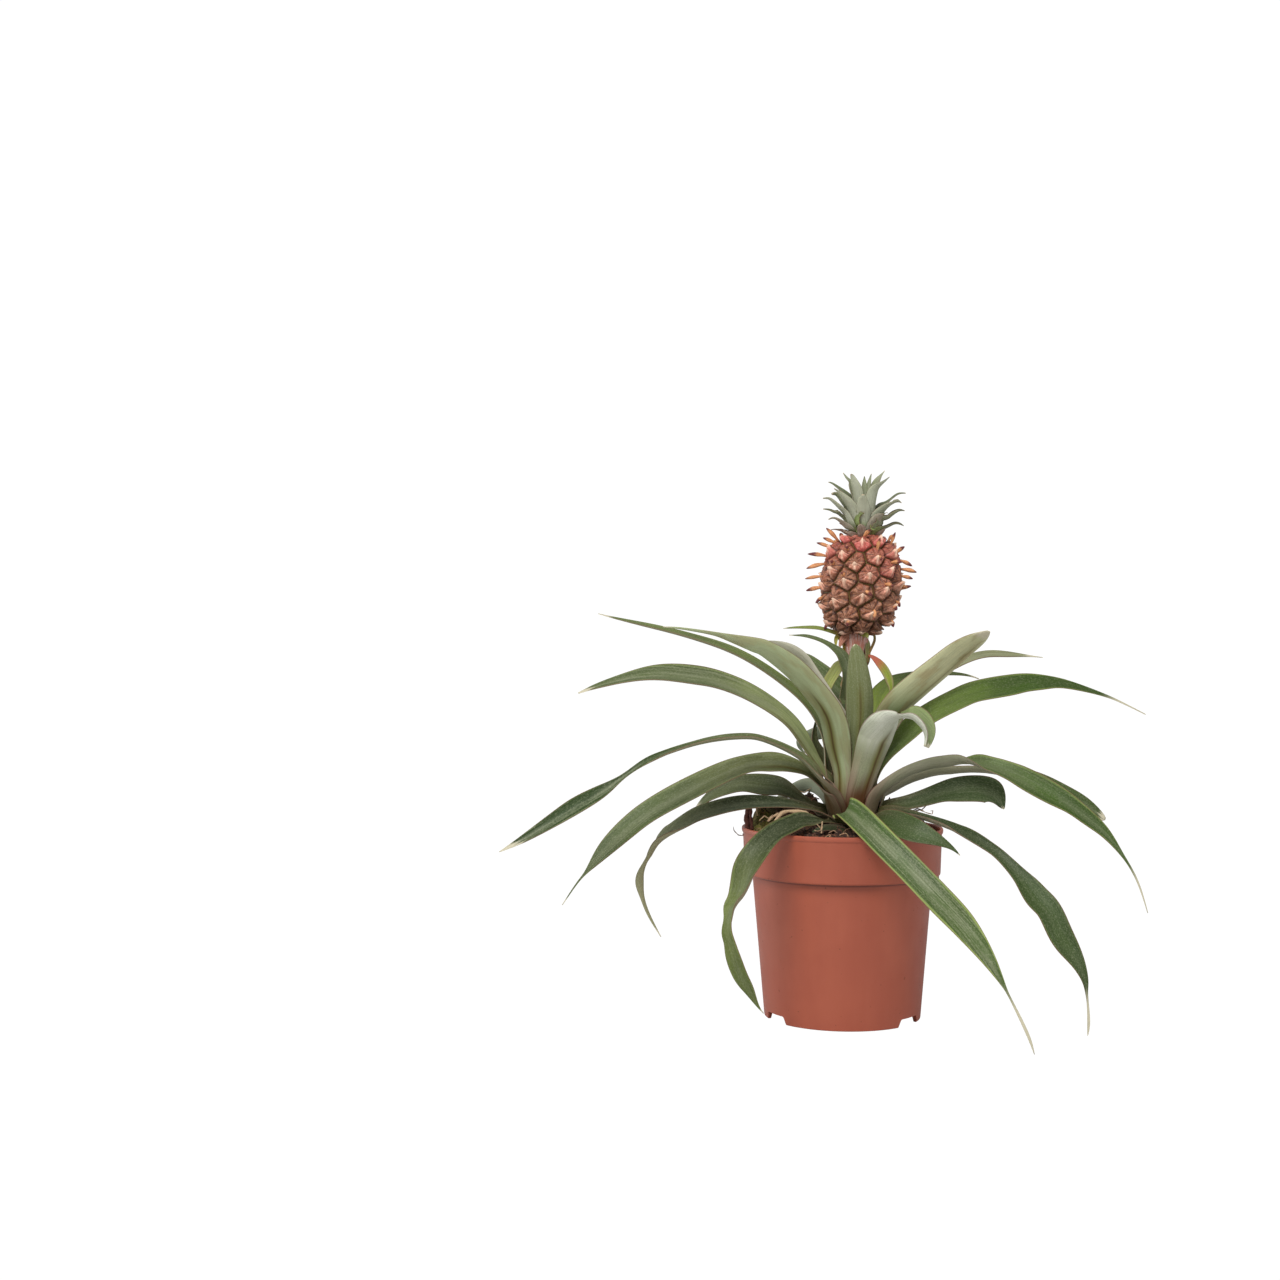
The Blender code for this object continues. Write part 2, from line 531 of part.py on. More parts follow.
def blade_grid(leaf: Leaf, count: int, across: int) -> tuple:
    """Returns the blade's middle surface and its normals, one row of points for each station.

    Each row is an arc across the leaf that opens upwards: at the root it has the stem's own
    radius and further out the leaf's curl.
    """
    points = leaf_line(leaf, count)
    shares = np.linspace(0.0, 1.0, count)
    sides, ups = line_frames(points, leaf.bearing)
    rolls = np.radians(np.interp(shares, *zip(*leaf.rolls)))[:, None]
    sides, ups = sides * np.cos(rolls) + ups * np.sin(rolls), ups * np.cos(rolls) - sides * np.sin(rolls)
    halves = half_widths(leaf, shares)
    clasp = halves[0] / (stem_radius(leaf.root) + FIT_GAP + BLADE_MIDDLE / 2)
    curls = clasp + (math.radians(leaf.curl) - clasp) * np.clip(shares / 0.2, 0, 1)
    radii = (halves / curls)[:, None]
    lanes = np.linspace(-1.0, 1.0, across)
    angles = lanes * curls[:, None]
    centring = 0.5 * radii * (1 - np.cos(curls))[:, None] * np.clip((shares - 0.05) / 0.2, 0, 1)[:, None]
    tall, number = leaf.wave
    waves = tall * np.sin(2 * math.pi * number * shares) * np.sin(math.pi * shares)
    rise = radii * (1 - np.cos(angles)) - centring + waves[:, None] * lanes ** 3
    grid = points[:, None] + sides[:, None] * (radii * np.sin(angles))[..., None] + ups[:, None] * rise[..., None]
    normals = ups[:, None] * np.cos(angles)[..., None] - sides[:, None] * np.sin(angles)[..., None]
    return grid, normals


def blade_solid(grid: np.ndarray, normals: np.ndarray) -> tuple:
    """Thickens a blade's middle surface into a closed skin, split alike on both faces."""
    count, across = grid.shape[:2]
    lanes = np.abs(np.linspace(-1.0, 1.0, across))
    thickness = (BLADE_MIDDLE + (BLADE_EDGE - BLADE_MIDDLE) * lanes)[None, :, None]
    upper = (grid + normals * thickness / 2).reshape(-1, 3)
    lower = (grid - normals * thickness / 2).reshape(-1, 3)
    total = count * across
    faces = []
    for row in range(count - 1):
        for lane in range(across - 1):
            a = row * across + lane
            quad = (a, a + 1, a + across + 1, a + across)
            under = tuple(total + corner for corner in quad)
            faces += triangulate_alike([quad])
            faces += [part[::-1] for part in triangulate_alike([under])]
        for lane in (0, across - 1):
            a = row * across + lane
            faces += triangulate_alike([(a, a + across, total + a + across, total + a)])
    for row in (0, count - 1):
        for lane in range(across - 1):
            a = row * across + lane
            faces += triangulate_alike([(a, a + 1, total + a + 1, total + a)])
    return np.concatenate([upper, lower]), faces


def build_blades(blades: tuple, count: int, material: bpy.types.Material) -> None:
    """Builds one object for each leaf or bract."""
    for leaf in blades:
        across = WIDE_LEAF_POINTS if leaf.width > NARROW_LEAF else NARROW_LEAF_POINTS
        points, faces = blade_solid(*blade_grid(leaf, count, across))
        add_mesh(leaf.name, points, faces, material)


# Fruit

def fruit_radius(height: float) -> float:
    """Returns the barrel's radius at a height above the fruit's foot."""
    middle = (FRUIT_HIGH_Z - FRUIT_LOW_Z) / 2
    share = min(abs(height - middle) / (middle + FRUIT_END_ROUNDING), 1.0)
    return FRUIT_RADIUS * (1 - share ** FRUIT_FULLNESS) ** (1 / FRUIT_FULLNESS)


def eye_heights() -> list:
    """Returns the eyes' heights, spaced so that each eye has the same share of the skin."""
    tall = FRUIT_HIGH_Z - FRUIT_LOW_Z
    samples = np.linspace(EYE_MARGIN, tall - EYE_MARGIN, LINE_SAMPLES)
    slopes = np.gradient([fruit_radius(height) for height in samples], samples)
    areas = np.array([fruit_radius(height) for height in samples]) * np.sqrt(1 + slopes ** 2)
    run = np.concatenate([[0.0], np.cumsum((areas[1:] + areas[:-1]) / 2)])
    wanted = (np.arange(EYE_COUNT) + 0.5) / EYE_COUNT * run[-1]
    return list(np.interp(wanted, run, samples))


def fruit_lattice() -> bmesh.types.BMesh:
    """Places the eyes at the golden angle on the barrel and joins neighbours by their convex hull."""
    hull = bmesh.new()
    for number, height in enumerate(eye_heights()):
        angle = number * GOLDEN_ANGLE
        radius = fruit_radius(height)
        hull.verts.new((radius * math.cos(angle), radius * math.sin(angle), height))
    for height in (0.0, FRUIT_HIGH_Z - FRUIT_LOW_Z):
        for x, y, z in ring_points(SEAT_RADIUS, height, SEAT_SIDES):
            hull.verts.new((x, y, z))
        hull.verts.new((0.0, 0.0, height + math.copysign(0.01, height - 1.0)))
    bmesh.ops.convex_hull(hull, input=hull.verts)
    hull.verts.ensure_lookup_table()
    hull.faces.ensure_lookup_table()
    hull.verts.index_update()
    hull.faces.index_update()
    return hull


def faces_round(vertex: bmesh.types.BMVert, outward: Vector) -> list:
    """Returns the numbers of the hull's faces round a vertex, in turning order."""
    side = outward.cross(Vector((0.0, 0.0, 1.0)))
    if side.length < 0.01:
        side = Vector((1.0, 0.0, 0.0))
    side.normalize()
    upward = side.cross(outward)

    def turn(face: bmesh.types.BMFace) -> float:
        offset = face.calc_center_median() - vertex.co
        return math.atan2(offset.dot(upward), offset.dot(side))

    return [face.index for face in sorted(vertex.link_faces, key=turn)]


def add_flower(points: list, faces: list, rim: list, centre: Vector, lean: Vector, length: float) -> None:
    """Closes an eye with a dried flower: a thin bent spindle on the rim of the eye's cup."""
    middle = [Vector(points[index]) for index in rim]
    collar = []
    for place in middle:
        inward = (place - centre).normalized()
        points.append(tuple(centre + inward * FLOWER_NECK_SHARE * FLOWER_RADIUS))
        collar.append(len(points) - 1)
    waist = []
    for place in middle:
        inward = (place - centre).normalized()
        points.append(tuple(centre + lean * FLOWER_WAIST_SHARE * length + inward * FLOWER_RADIUS))
        waist.append(len(points) - 1)
    points.append(tuple(centre + lean * length))
    tip = len(points) - 1
    sides = len(rim)
    for low, high in ((rim, collar), (collar, waist)):
        faces += [(low[i], low[(i + 1) % sides], high[(i + 1) % sides], high[i]) for i in range(sides)]
    faces += [(waist[i], waist[(i + 1) % sides], tip) for i in range(sides)]


def build_fruit() -> None:
    """Builds the fruit: spiralling eyes with a raised bract on each and a dried flower in it."""
    hull = fruit_lattice()
    tall = FRUIT_HIGH_Z - FRUIT_LOW_Z
    points = []
    for face in hull.faces:
        centre = face.calc_center_median()
        inward = Vector((-centre.x, -centre.y, 0.0))
        depth = GROOVE_DEPTH if inward.length > SEAT_RADIUS else 0.0
        points.append(tuple(centre + inward.normalized() * depth))
    faces = []
    for vertex in hull.verts:
        place = vertex.co.copy()
        outward = Vector((place.x, place.y, 0.0))
        seat = outward.length < SEAT_RADIUS + 0.1 and (place.z < 0.1 or place.z > tall - 0.1)
        slope = (place.z - tall / 2) / (tall / 2)
        outward = outward.normalized() + Vector((0.0, 0.0, EYE_END_TILT * slope ** 3))
        outward = Vector((0.0, 0.0, math.copysign(1.0, slope))) if seat else outward.normalized()
        ring = faces_round(vertex, outward)
        sides = len(ring)
        if seat:
            points.append(tuple(place))
            hub = len(points) - 1
            faces += [(ring[i], ring[(i + 1) % sides], hub) for i in range(sides)]
            continue
        rim = []
        for index in ring:
            groove = Vector(points[index])
            low_share = max(0.0, -(groove - place).normalized().z)
            rise = EYE_RISE + (BRACT_RISE - EYE_RISE) * low_share
            points.append(tuple(place.lerp(groove, EYE_RIM_SHARE) + outward * rise))
            rim.append(len(points) - 1)
        faces += [(ring[i], ring[(i + 1) % sides], rim[(i + 1) % sides], rim[i]) for i in range(sides)]
        centre = place + outward * (EYE_RISE - EYE_HOLLOW)
        if place.z < FLOWER_TOP_Z - FRUIT_LOW_Z:
            lift = FLOWER_LIFT * slope + FLOWER_SWAY * math.sin(2.4 * place.x)
            lean = (outward + Vector((0.0, 0.0, lift))).normalized()
            length = FLOWER_LENGTH * (1.0 - FLOWER_LENGTH_RANGE * (1.0 - slope))
            add_flower(points, faces, rim, centre, lean, length)
        else:
            points.append(tuple(centre))
            hub = len(points) - 1
            faces += [(rim[i], rim[(i + 1) % sides], hub) for i in range(sides)]
    hull.free()
    placed = [(x + FRUIT_X + FRUIT_LEAN * z, y, z + FRUIT_LOW_Z) for x, y, z in points]
    add_mesh("fruit", placed, triangulate_alike(faces), make_material("fruit_skin", (0.42, 0.20, 0.14), 0.6))


# Crown

def crown_blade(number: int) -> tuple:
    """Returns one lance-shaped crown leaf as points and faces: low ones bend out, high ones stand."""
    share = number / (CROWN_LEAVES - 1)
    angle = number * GOLDEN_ANGLE
    outward = np.array([math.cos(angle), math.sin(angle), 0.0])
    side = np.array([-math.sin(angle), math.cos(angle), 0.0])
    root_z = FRUIT_HIGH_Z + 1.6 + (CROWN_CORE_HEIGHT - 5.0) * share
    root_reach = 0.5 * (CROWN_LOW_RADIUS + (CROWN_HIGH_RADIUS - CROWN_LOW_RADIUS) * share)
    length = CROWN_BLADE_LENGTH * (0.86 + 0.3 * math.sin(math.pi * share)) * (1.0 - 0.3 * share ** 6)
    width = CROWN_BLADE_WIDTH * (1.0 - 0.4 * share ** 2)
    start_tilt = math.radians(CROWN_LOW_TILT + (CROWN_HIGH_TILT - CROWN_LOW_TILT) * share)
    bend = math.radians(CROWN_LOW_BEND + (CROWN_HIGH_BEND - CROWN_LOW_BEND) * share)
    count = CROWN_STATIONS
    place = np.array([CROWN_X, 0.0, root_z]) + outward * root_reach
    grid = []
    normals = []
    for station in range(count):
        along = station / (count - 1)
        tilt = start_tilt + bend * along ** 1.5
        tangent = outward * math.sin(tilt) + np.array([0.0, 0.0, math.cos(tilt)])
        upper = np.cross(tangent, side)
        if station:
            place = place + tangent * length / (count - 1)
        half = max(width / 2 * math.sin(math.pi * (0.3 + 0.7 * along)) ** 0.9, BLADE_EDGE / 2)
        grid.append([place + side * half * lane + upper * CROWN_FOLD * half * abs(lane) for lane in (-1, 0, 1)])
        normals.append([upper] * 3)
    return blade_solid(np.array(grid), np.array(normals))


def build_crown() -> None:
    """Builds the crown: a small core with a rosette of leaves, joined into one body."""
    material = make_material("crown_leaf", (0.20, 0.28, 0.16), 0.55)
    core_low = ring_points(CROWN_LOW_RADIUS, FRUIT_HIGH_Z + FIT_GAP, CROWN_SIDES, CROWN_X)
    core_high = ring_points(CROWN_HIGH_RADIUS, FRUIT_HIGH_Z + CROWN_CORE_HEIGHT, CROWN_SIDES, CROWN_X)
    points, faces = closed_turned_body([core_low, core_high], CROWN_SIDES)
    crown = add_mesh("crown", points, faces, material)
    rosette = bpy.data.collections.new("crown_blades")
    bpy.context.scene.collection.children.link(rosette)
    for number in range(CROWN_LEAVES):
        points, faces = crown_blade(number)
        blade = add_mesh(f"crown_blade_{number}", points, faces, material)
        bpy.context.scene.collection.objects.unlink(blade)
        rosette.objects.link(blade)
    union = crown.modifiers.new("join_blades", "BOOLEAN")
    union.operation = "UNION"
    union.operand_type = "COLLECTION"
    union.collection = rosette
    union.solver = "EXACT"
    joined = bpy.data.meshes.new_from_object(crown.evaluated_get(bpy.context.evaluated_depsgraph_get()))
    crown.modifiers.clear()
    crown.data = joined
    for blade in list(rosette.objects):
        bpy.data.objects.remove(blade, do_unlink=True)
    bpy.data.collections.remove(rosette)


def main() -> None:
    """Builds the whole potted plant."""
    clear_scene()
    build_pot()
    build_soil()
    build_stem()
    build_blades(LEAVES, LEAF_STATIONS, make_material("strap_leaf", (0.13, 0.20, 0.09), 0.5))
    build_blades(BRACTS, BRACT_STATIONS, make_material("stalk_bract", (0.30, 0.33, 0.10), 0.55))
    build_fruit()
    build_crown()


main()
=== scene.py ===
"""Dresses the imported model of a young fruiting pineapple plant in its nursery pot.

Lengths in the tables are millimetres, and each mesh is turned into metres as it is laid. The front
is towards -Y and up is +Z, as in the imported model.
"""

import json
import logging
import math
from dataclasses import dataclass
from enum import Enum

import bpy
import numpy as np
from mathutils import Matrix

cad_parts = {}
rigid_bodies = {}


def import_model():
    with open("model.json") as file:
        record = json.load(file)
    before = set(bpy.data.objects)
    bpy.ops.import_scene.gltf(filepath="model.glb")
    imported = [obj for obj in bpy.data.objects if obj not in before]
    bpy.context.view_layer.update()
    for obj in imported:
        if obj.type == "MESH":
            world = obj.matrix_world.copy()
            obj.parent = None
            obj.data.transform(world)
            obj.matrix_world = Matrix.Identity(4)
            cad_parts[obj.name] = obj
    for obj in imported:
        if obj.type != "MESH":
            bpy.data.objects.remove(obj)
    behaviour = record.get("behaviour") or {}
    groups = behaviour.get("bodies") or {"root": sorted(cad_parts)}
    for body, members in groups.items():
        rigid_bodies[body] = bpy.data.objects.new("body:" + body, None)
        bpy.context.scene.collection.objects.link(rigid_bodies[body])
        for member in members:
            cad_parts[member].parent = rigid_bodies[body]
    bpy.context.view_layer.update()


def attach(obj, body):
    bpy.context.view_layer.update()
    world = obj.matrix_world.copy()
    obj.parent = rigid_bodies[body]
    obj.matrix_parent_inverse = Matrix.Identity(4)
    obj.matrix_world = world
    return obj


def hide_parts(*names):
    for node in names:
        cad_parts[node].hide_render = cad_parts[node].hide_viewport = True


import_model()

log = logging.getLogger("pineapple_plant")

MM = 0.001
UP = np.array([0.0, 0.0, 1.0])
Array = np.ndarray
Colour = tuple[float, float, float]


def tint(red: int, green: int, blue: int) -> Colour:
    """Turns a screen colour of 0 to 255 into the linear colour that shaders use."""
    shares = (red / 255, green / 255, blue / 255)
    return tuple(s / 12.92 if s <= 0.04045 else ((s + 0.055) / 1.055) ** 2.4 for s in shares)


# Materials

class Flow:
    """A number that flows through a material's nodes, with arithmetic written as operators."""

    def __init__(self, paint: "Paint", socket: bpy.types.NodeSocket) -> None:
        """Wraps a node's output socket."""
        self.paint = paint
        self.socket = socket

    def __add__(self, other: "Flow | float") -> "Flow":
        """Returns this plus the other."""
        return self.paint.math("ADD", self, other)

    def __sub__(self, other: "Flow | float") -> "Flow":
        """Returns this minus the other."""
        return self.paint.math("SUBTRACT", self, other)

    def __mul__(self, other: "Flow | float") -> "Flow":
        """Returns this times the other."""
        return self.paint.math("MULTIPLY", self, other)

    def __pow__(self, other: "Flow | float") -> "Flow":
        """Returns this to the power of the other."""
        return self.paint.math("POWER", self, other)

    def __rsub__(self, other: float) -> "Flow":
        """Returns the other minus this."""
        return self.paint.math("SUBTRACT", other, self)

    __radd__ = __add__
    __rmul__ = __mul__


class Paint:
    """Lays out the nodes of one material round its Principled shader."""

    def __init__(self, name: str) -> None:
        """Starts a material of that name."""
        self.material = bpy.data.materials.new(name)
        self.material.use_nodes = True
        self.tree = self.material.node_tree
        self.shader = self.tree.nodes["Principled BSDF"]

    def node(self, kind: str, settings: dict | None = None, sockets: dict | None = None) -> bpy.types.Node:
        """Adds any node.

        Args:
            kind: the node's type.
            settings: its settings, set first.
            sockets: the value or Flow for each input, by name or number.

        Returns:
            The new node.
        """
        made = self.tree.nodes.new(kind)
        for name, value in (settings or {}).items():
            setattr(made, name, value)
        for name, value in (sockets or {}).items():
            self.feed(made.inputs[name], value)
        return made

    def feed(self, socket: bpy.types.NodeSocket, value: object) -> None:
        """Links a Flow to a socket, or sets the socket to a plain value.

        Args:
            socket: a node's input.
            value: the Flow, number, vector or colour that it gets.
        """
        if isinstance(value, Flow):
            self.tree.links.new(value.socket, socket)
        elif socket.type == "RGBA":
            socket.default_value = (*value, 1.0)
        else:
            socket.default_value = value

    def out(self, node: bpy.types.Node, name: str | int = 0) -> Flow:
        """Returns one output of a node."""
        return Flow(self, node.outputs[name])

    def math(self, operation: str, first: Flow | float, second: Flow | float = 0.0) -> Flow:
        """Returns one sum of two numbers."""
        return self.out(self.node("ShaderNodeMath", {"operation": operation}, {0: first, 1: second}))

    def blend(self, share: Flow | float, first: Flow | Colour, second: Flow | Colour) -> Flow:
        """Mixes two colours by a share that is kept between 0 and 1."""
        settings = {"data_type": "RGBA", "clamp_factor": True}
        return self.out(self.node("ShaderNodeMix", settings, {0: share, 6: first, 7: second}), 2)

    def veil(self, skin: Flow, colour: Colour, value: Flow, low: float, high: float, most: float) -> Flow:
        """Lays a colour over the skin where a value rises from low to high, by at most a share."""
        return self.blend(self.rise(value, low, high) * most, skin, colour)

    def rise(self, value: Flow, low: float | Flow, high: float | Flow) -> Flow:
        """Turns a value into a soft step from 0 at low to 1 at high."""
        sockets = {"Value": value, "From Min": low, "From Max": high}
        return self.out(self.node("ShaderNodeMapRange", {"interpolation_type": "SMOOTHSTEP"}, sockets))

    def parts(self, vector: Flow) -> tuple[Flow, Flow, Flow]:
        """Returns the three numbers of a vector."""
        split = self.node("ShaderNodeSeparateXYZ", None, {0: vector})
        return self.out(split, 0), self.out(split, 1), self.out(split, 2)

    def mark(self, name: str) -> tuple[Flow, Flow, Flow]:
        """Returns the three numbers of a vector attribute of the piece."""
        found = self.node("ShaderNodeAttribute", {"attribute_name": name})
        return self.parts(self.out(found, "Vector"))

    def hue(self, name: str) -> Flow:
        """Returns a vector attribute of the piece as a colour."""
        return self.out(self.node("ShaderNodeAttribute", {"attribute_name": name}), "Color")

    def vector(self, x: Flow | float, y: Flow | float, z: Flow | float) -> Flow:
        """Joins three numbers into a vector."""
        return self.out(self.node("ShaderNodeCombineXYZ", None, {0: x, 1: y, 2: z}))

    def place(self) -> Flow:
        """Returns the object coordinates, which are metres in the plant's own frame."""
        return self.out(self.node("ShaderNodeTexCoord"), "Object")

    def noise(self, where: Flow, scale: float, detail: float = 2.0, roughness: float = 0.5) -> Flow:
        """Returns soft noise between 0 and 1 at a scale of patches for each unit."""
        sockets = {"Vector": where, "Scale": scale, "Detail": detail, "Roughness": roughness}
        return self.out(self.node("ShaderNodeTexNoise", None, sockets))

    def bump(self, height: Flow, strength: float, distance: float) -> Flow:
        """Returns the normal of a surface raised by a height in units of the distance."""
        sockets = {"Height": height, "Strength": strength, "Distance": distance}
        return self.out(self.node("ShaderNodeBump", None, sockets))

    def finish(self, **sockets: object) -> bpy.types.Material:
        """Feeds the shader and ends the material.

        Args:
            sockets: what each of the shader's inputs gets, named with _ for a space.

        Returns:
            The material.
        """
        for name, value in sockets.items():
            self.feed(self.shader.inputs[name.replace("_", " ")], value)
        return self.material


# Meshes

def lay_piece(name: str, points: Array, faces: list, material: bpy.types.Material,
              marks: dict | None = None) -> bpy.types.Object:
    """Makes a smooth closed piece that points outwards.

    The volume inside is the sum over the faces' fans of a . (b x c) / 6; if it comes out negative,
    every face is turned round.

    Args:
        name: the piece's name.
        points: its points in millimetres, one row each.
        faces: arrays of point numbers, each with one width.
        material: its finish.
        marks: vector attributes by name, one row for each point.

    Returns:
        The new object, which stands at the origin.
    """
    volume = 0.0
    for part in faces:
        for corner in range(1, part.shape[1] - 1):
            a, b, c = (points[part[:, index]] for index in (0, corner, corner + 1))
            volume += np.einsum("ij,ij->", a, np.cross(b, c)) / 6
    if volume < 0:
        faces = [part[:, ::-1] for part in faces]
    corners = np.concatenate([part.ravel() for part in faces]).astype(np.int32)
    sizes = np.concatenate([np.full(len(part), part.shape[1]) for part in faces])
    mesh = bpy.data.meshes.new(name)
    mesh.vertices.add(len(points))
    mesh.vertices.foreach_set("co", (points * MM).astype(np.float32).ravel())
    mesh.loops.add(len(corners))
    mesh.loops.foreach_set("vertex_index", corners)
    mesh.polygons.add(len(sizes))
    mesh.polygons.foreach_set("loop_start", np.concatenate([[0], np.cumsum(sizes)[:-1]]).astype(np.int32))
    mesh.update(calc_edges=True)
    mesh.shade_smooth()
    for mark, values in (marks or {}).items():
        held = mesh.attributes.new(mark, "FLOAT_VECTOR", "POINT")
        held.data.foreach_set("vector", values.astype(np.float32).ravel())
    mesh.materials.append(material)
    piece = bpy.data.objects.new(name, mesh)
    bpy.context.scene.collection.objects.link(piece)
    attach(piece, "root")
    return piece


def tube_faces(rows: int, ring: int, first: int = 0) -> list:
    """Joins a tube's points: quads between its rings and a fan over each end.

    Args:
        rows: how many rings there are.
        ring: how many points each has; the middles of the two end rings follow them all.
        first: the number of the tube's first point.

    Returns:
        The quads, and then the triangles of both ends.
    """
    row = np.arange(rows - 1)[:, None] * ring
    step = np.arange(ring)[None, :]
    ahead = (step + 1) % ring
    quads = np.stack([row + step, row + ahead, row + ring + ahead, row + ring + step], axis=-1)
    low, high = rows * ring, rows * ring + 1
    turn, last = np.arange(ring), (rows - 1) * ring
    start = np.stack([(turn + 1) % ring, turn, np.full(ring, low)], axis=-1)
    end = np.stack([last + turn, last + (turn + 1) % ring, np.full(ring, high)], axis=-1)
    return [quads.reshape(-1, 4) + first, np.concatenate([start, end]) + first]


def closed_tube(rings: Array) -> Array:
    """Returns the points of rings (rows, ring, 3) followed by the middles of the two end rings."""
    ends = np.stack([rings[0].mean(axis=0), rings[-1].mean(axis=0)])
    return np.concatenate([rings.reshape(-1, 3), ends])


def bundle(tubes: Array) -> tuple[Array, list]:
    """Closes many tubes of one make and joins them.

    Args:
        tubes: their rings (tubes, rows, ring, 3).

    Returns:
        Their points and faces.
    """
    rows, ring = tubes.shape[1:3]
    firsts = np.arange(len(tubes)) * (rows * ring + 2)
    points = np.concatenate([closed_tube(tube) for tube in tubes])
    return points, [part for first in firsts for part in tube_faces(rows, ring, first)]


def full_turn(count: int, start: float = 0.0) -> Array:
    """Returns even angles all the way round, from a share of the step on."""
    return (np.arange(count) + start) / count * 2 * math.pi


def level_rings(radii: Array | float, turn: Array, heights: Array | float,
                middle: Array | float = 0.0) -> Array:
    """Returns the points (middle + radius cos turn, radius sin turn, height)."""
    return np.stack(np.broadcast_arrays(middle + radii * np.cos(turn), radii * np.sin(turn), heights), axis=-1)


def spread(middles: Array, sides: Array, overs: Array, across: Array,
           up: Array) -> Array:
    """Returns the points middle + across * side + up * over of rings round the middles."""
    return middles[..., None, :] + sides[..., None, :] * across[..., None] + overs[..., None, :] * up[..., None]


def unit(ways: Array) -> Array:
    """Returns the directions with a length of 1."""
    return ways / np.maximum(np.linalg.norm(ways, axis=-1, keepdims=True), 1e-6)


def even_steps(line: Array, count: int) -> Array:
    """Reads a line's columns at equal distances run along it.

    Args:
        line: its points, one row each; the columns after the third aren't part of the place.
        count: how many rows are wanted.

    Returns:
        The rows read.
    """
    run = np.concatenate([[0.0], np.cumsum(np.linalg.norm(np.diff(line[:, :3], axis=0), axis=1))])
    wanted = np.linspace(0.0, run[-1], count)
    return np.stack([np.interp(wanted, run, column) for column in line.T], axis=-1)


def ripples(points: Array, size: float, seed: int, waves: int = 14) -> Array:
    """Works out smooth unevenness: a sum of sines along random ways, over sqrt(waves / 2).

    Args:
        points: the places.
        size: about how long each wave is.
        seed: the seed of the directions.
        waves: how many sines there are.

    Returns:
        A value of about -1 to 1 for each place.
    """
    chance = np.random.default_rng(seed)
    ways = chance.normal(size=(waves, 3))
    ways *= 2 * math.pi / size / np.linalg.norm(ways, axis=1)[:, None] * chance.uniform(0.7, 1.4, (waves, 1))
    phases = points @ ways.T + chance.uniform(0, 2 * math.pi, waves)
    return np.sin(phases).sum(axis=-1) / math.sqrt(waves / 2)


def soft(values: Array) -> Array:
    """Returns a soft step from 0 at 0 to 1 at 1: 3 v^2 - 2 v^3."""
    values = np.clip(values, 0.0, 1.0)
    return values * values * (3 - 2 * values)


# Leaves

VIEW_X, VIEW_DISTANCE, VIEW_HEIGHT = -122.4, 1050.0, 227.0


@dataclass(frozen=True)
class LeafLook:
    """How one leaf is coloured, in screen colours of 0 to 255.

    top and under are the colours of its two faces, which change beyond the middle of the leaf to
    outer and outer_under, where there are any. scurf is how much pale dust lies on the upper face,
    hem how strong its pale green margins are, and dry the share of its length that has dried at the
    tip. streak is the strength of its brown channel line, at where that line lies across the leaf,
    and start and stop the shares of the length between which it shows. base is how strongly its
    lowest part is reddish brown, and stain how much of it is blotched brown.
    """

    top: Colour = (84, 98, 56)
    under: Colour = (146, 149, 122)
    scurf: float = 0.3
    hem: float = 0.12
    dry: float = 0.05
    streak: float = 0.0
    at: float = 0.0
    start: float = 0.05
    stop: float = 0.5
    outer: Colour | None = None
    base: float = 0.25
    stain: float = 0.0
    outer_under: Colour | None = None


@dataclass(frozen=True)
class Leaf:
    """One strap leaf or bract.

    bearing and root say where it leaves the stem, and line holds its stations (across, up, towards,
    breadth) as seen from the viewing point. facings are pairs of (share of the length, degrees):
    at 0 the upper face looks at the viewer, at 90 it looks up or outwards, and at 180 the lower
    face shows; a leaf without them opens upwards. curl is the half angle of its channel, foot its
    width where it clasps the stem, tilt how far it is rolled there, and wave the height and number
    of the ripples along its edges.
    """

    name: str
    bearing: float
    root: float
    curl: float
    facings: tuple
    look: LeafLook
    line: tuple
    foot: float = 16.0
    tilt: float = 0.0
    wave: tuple = (0.0, 1.0)


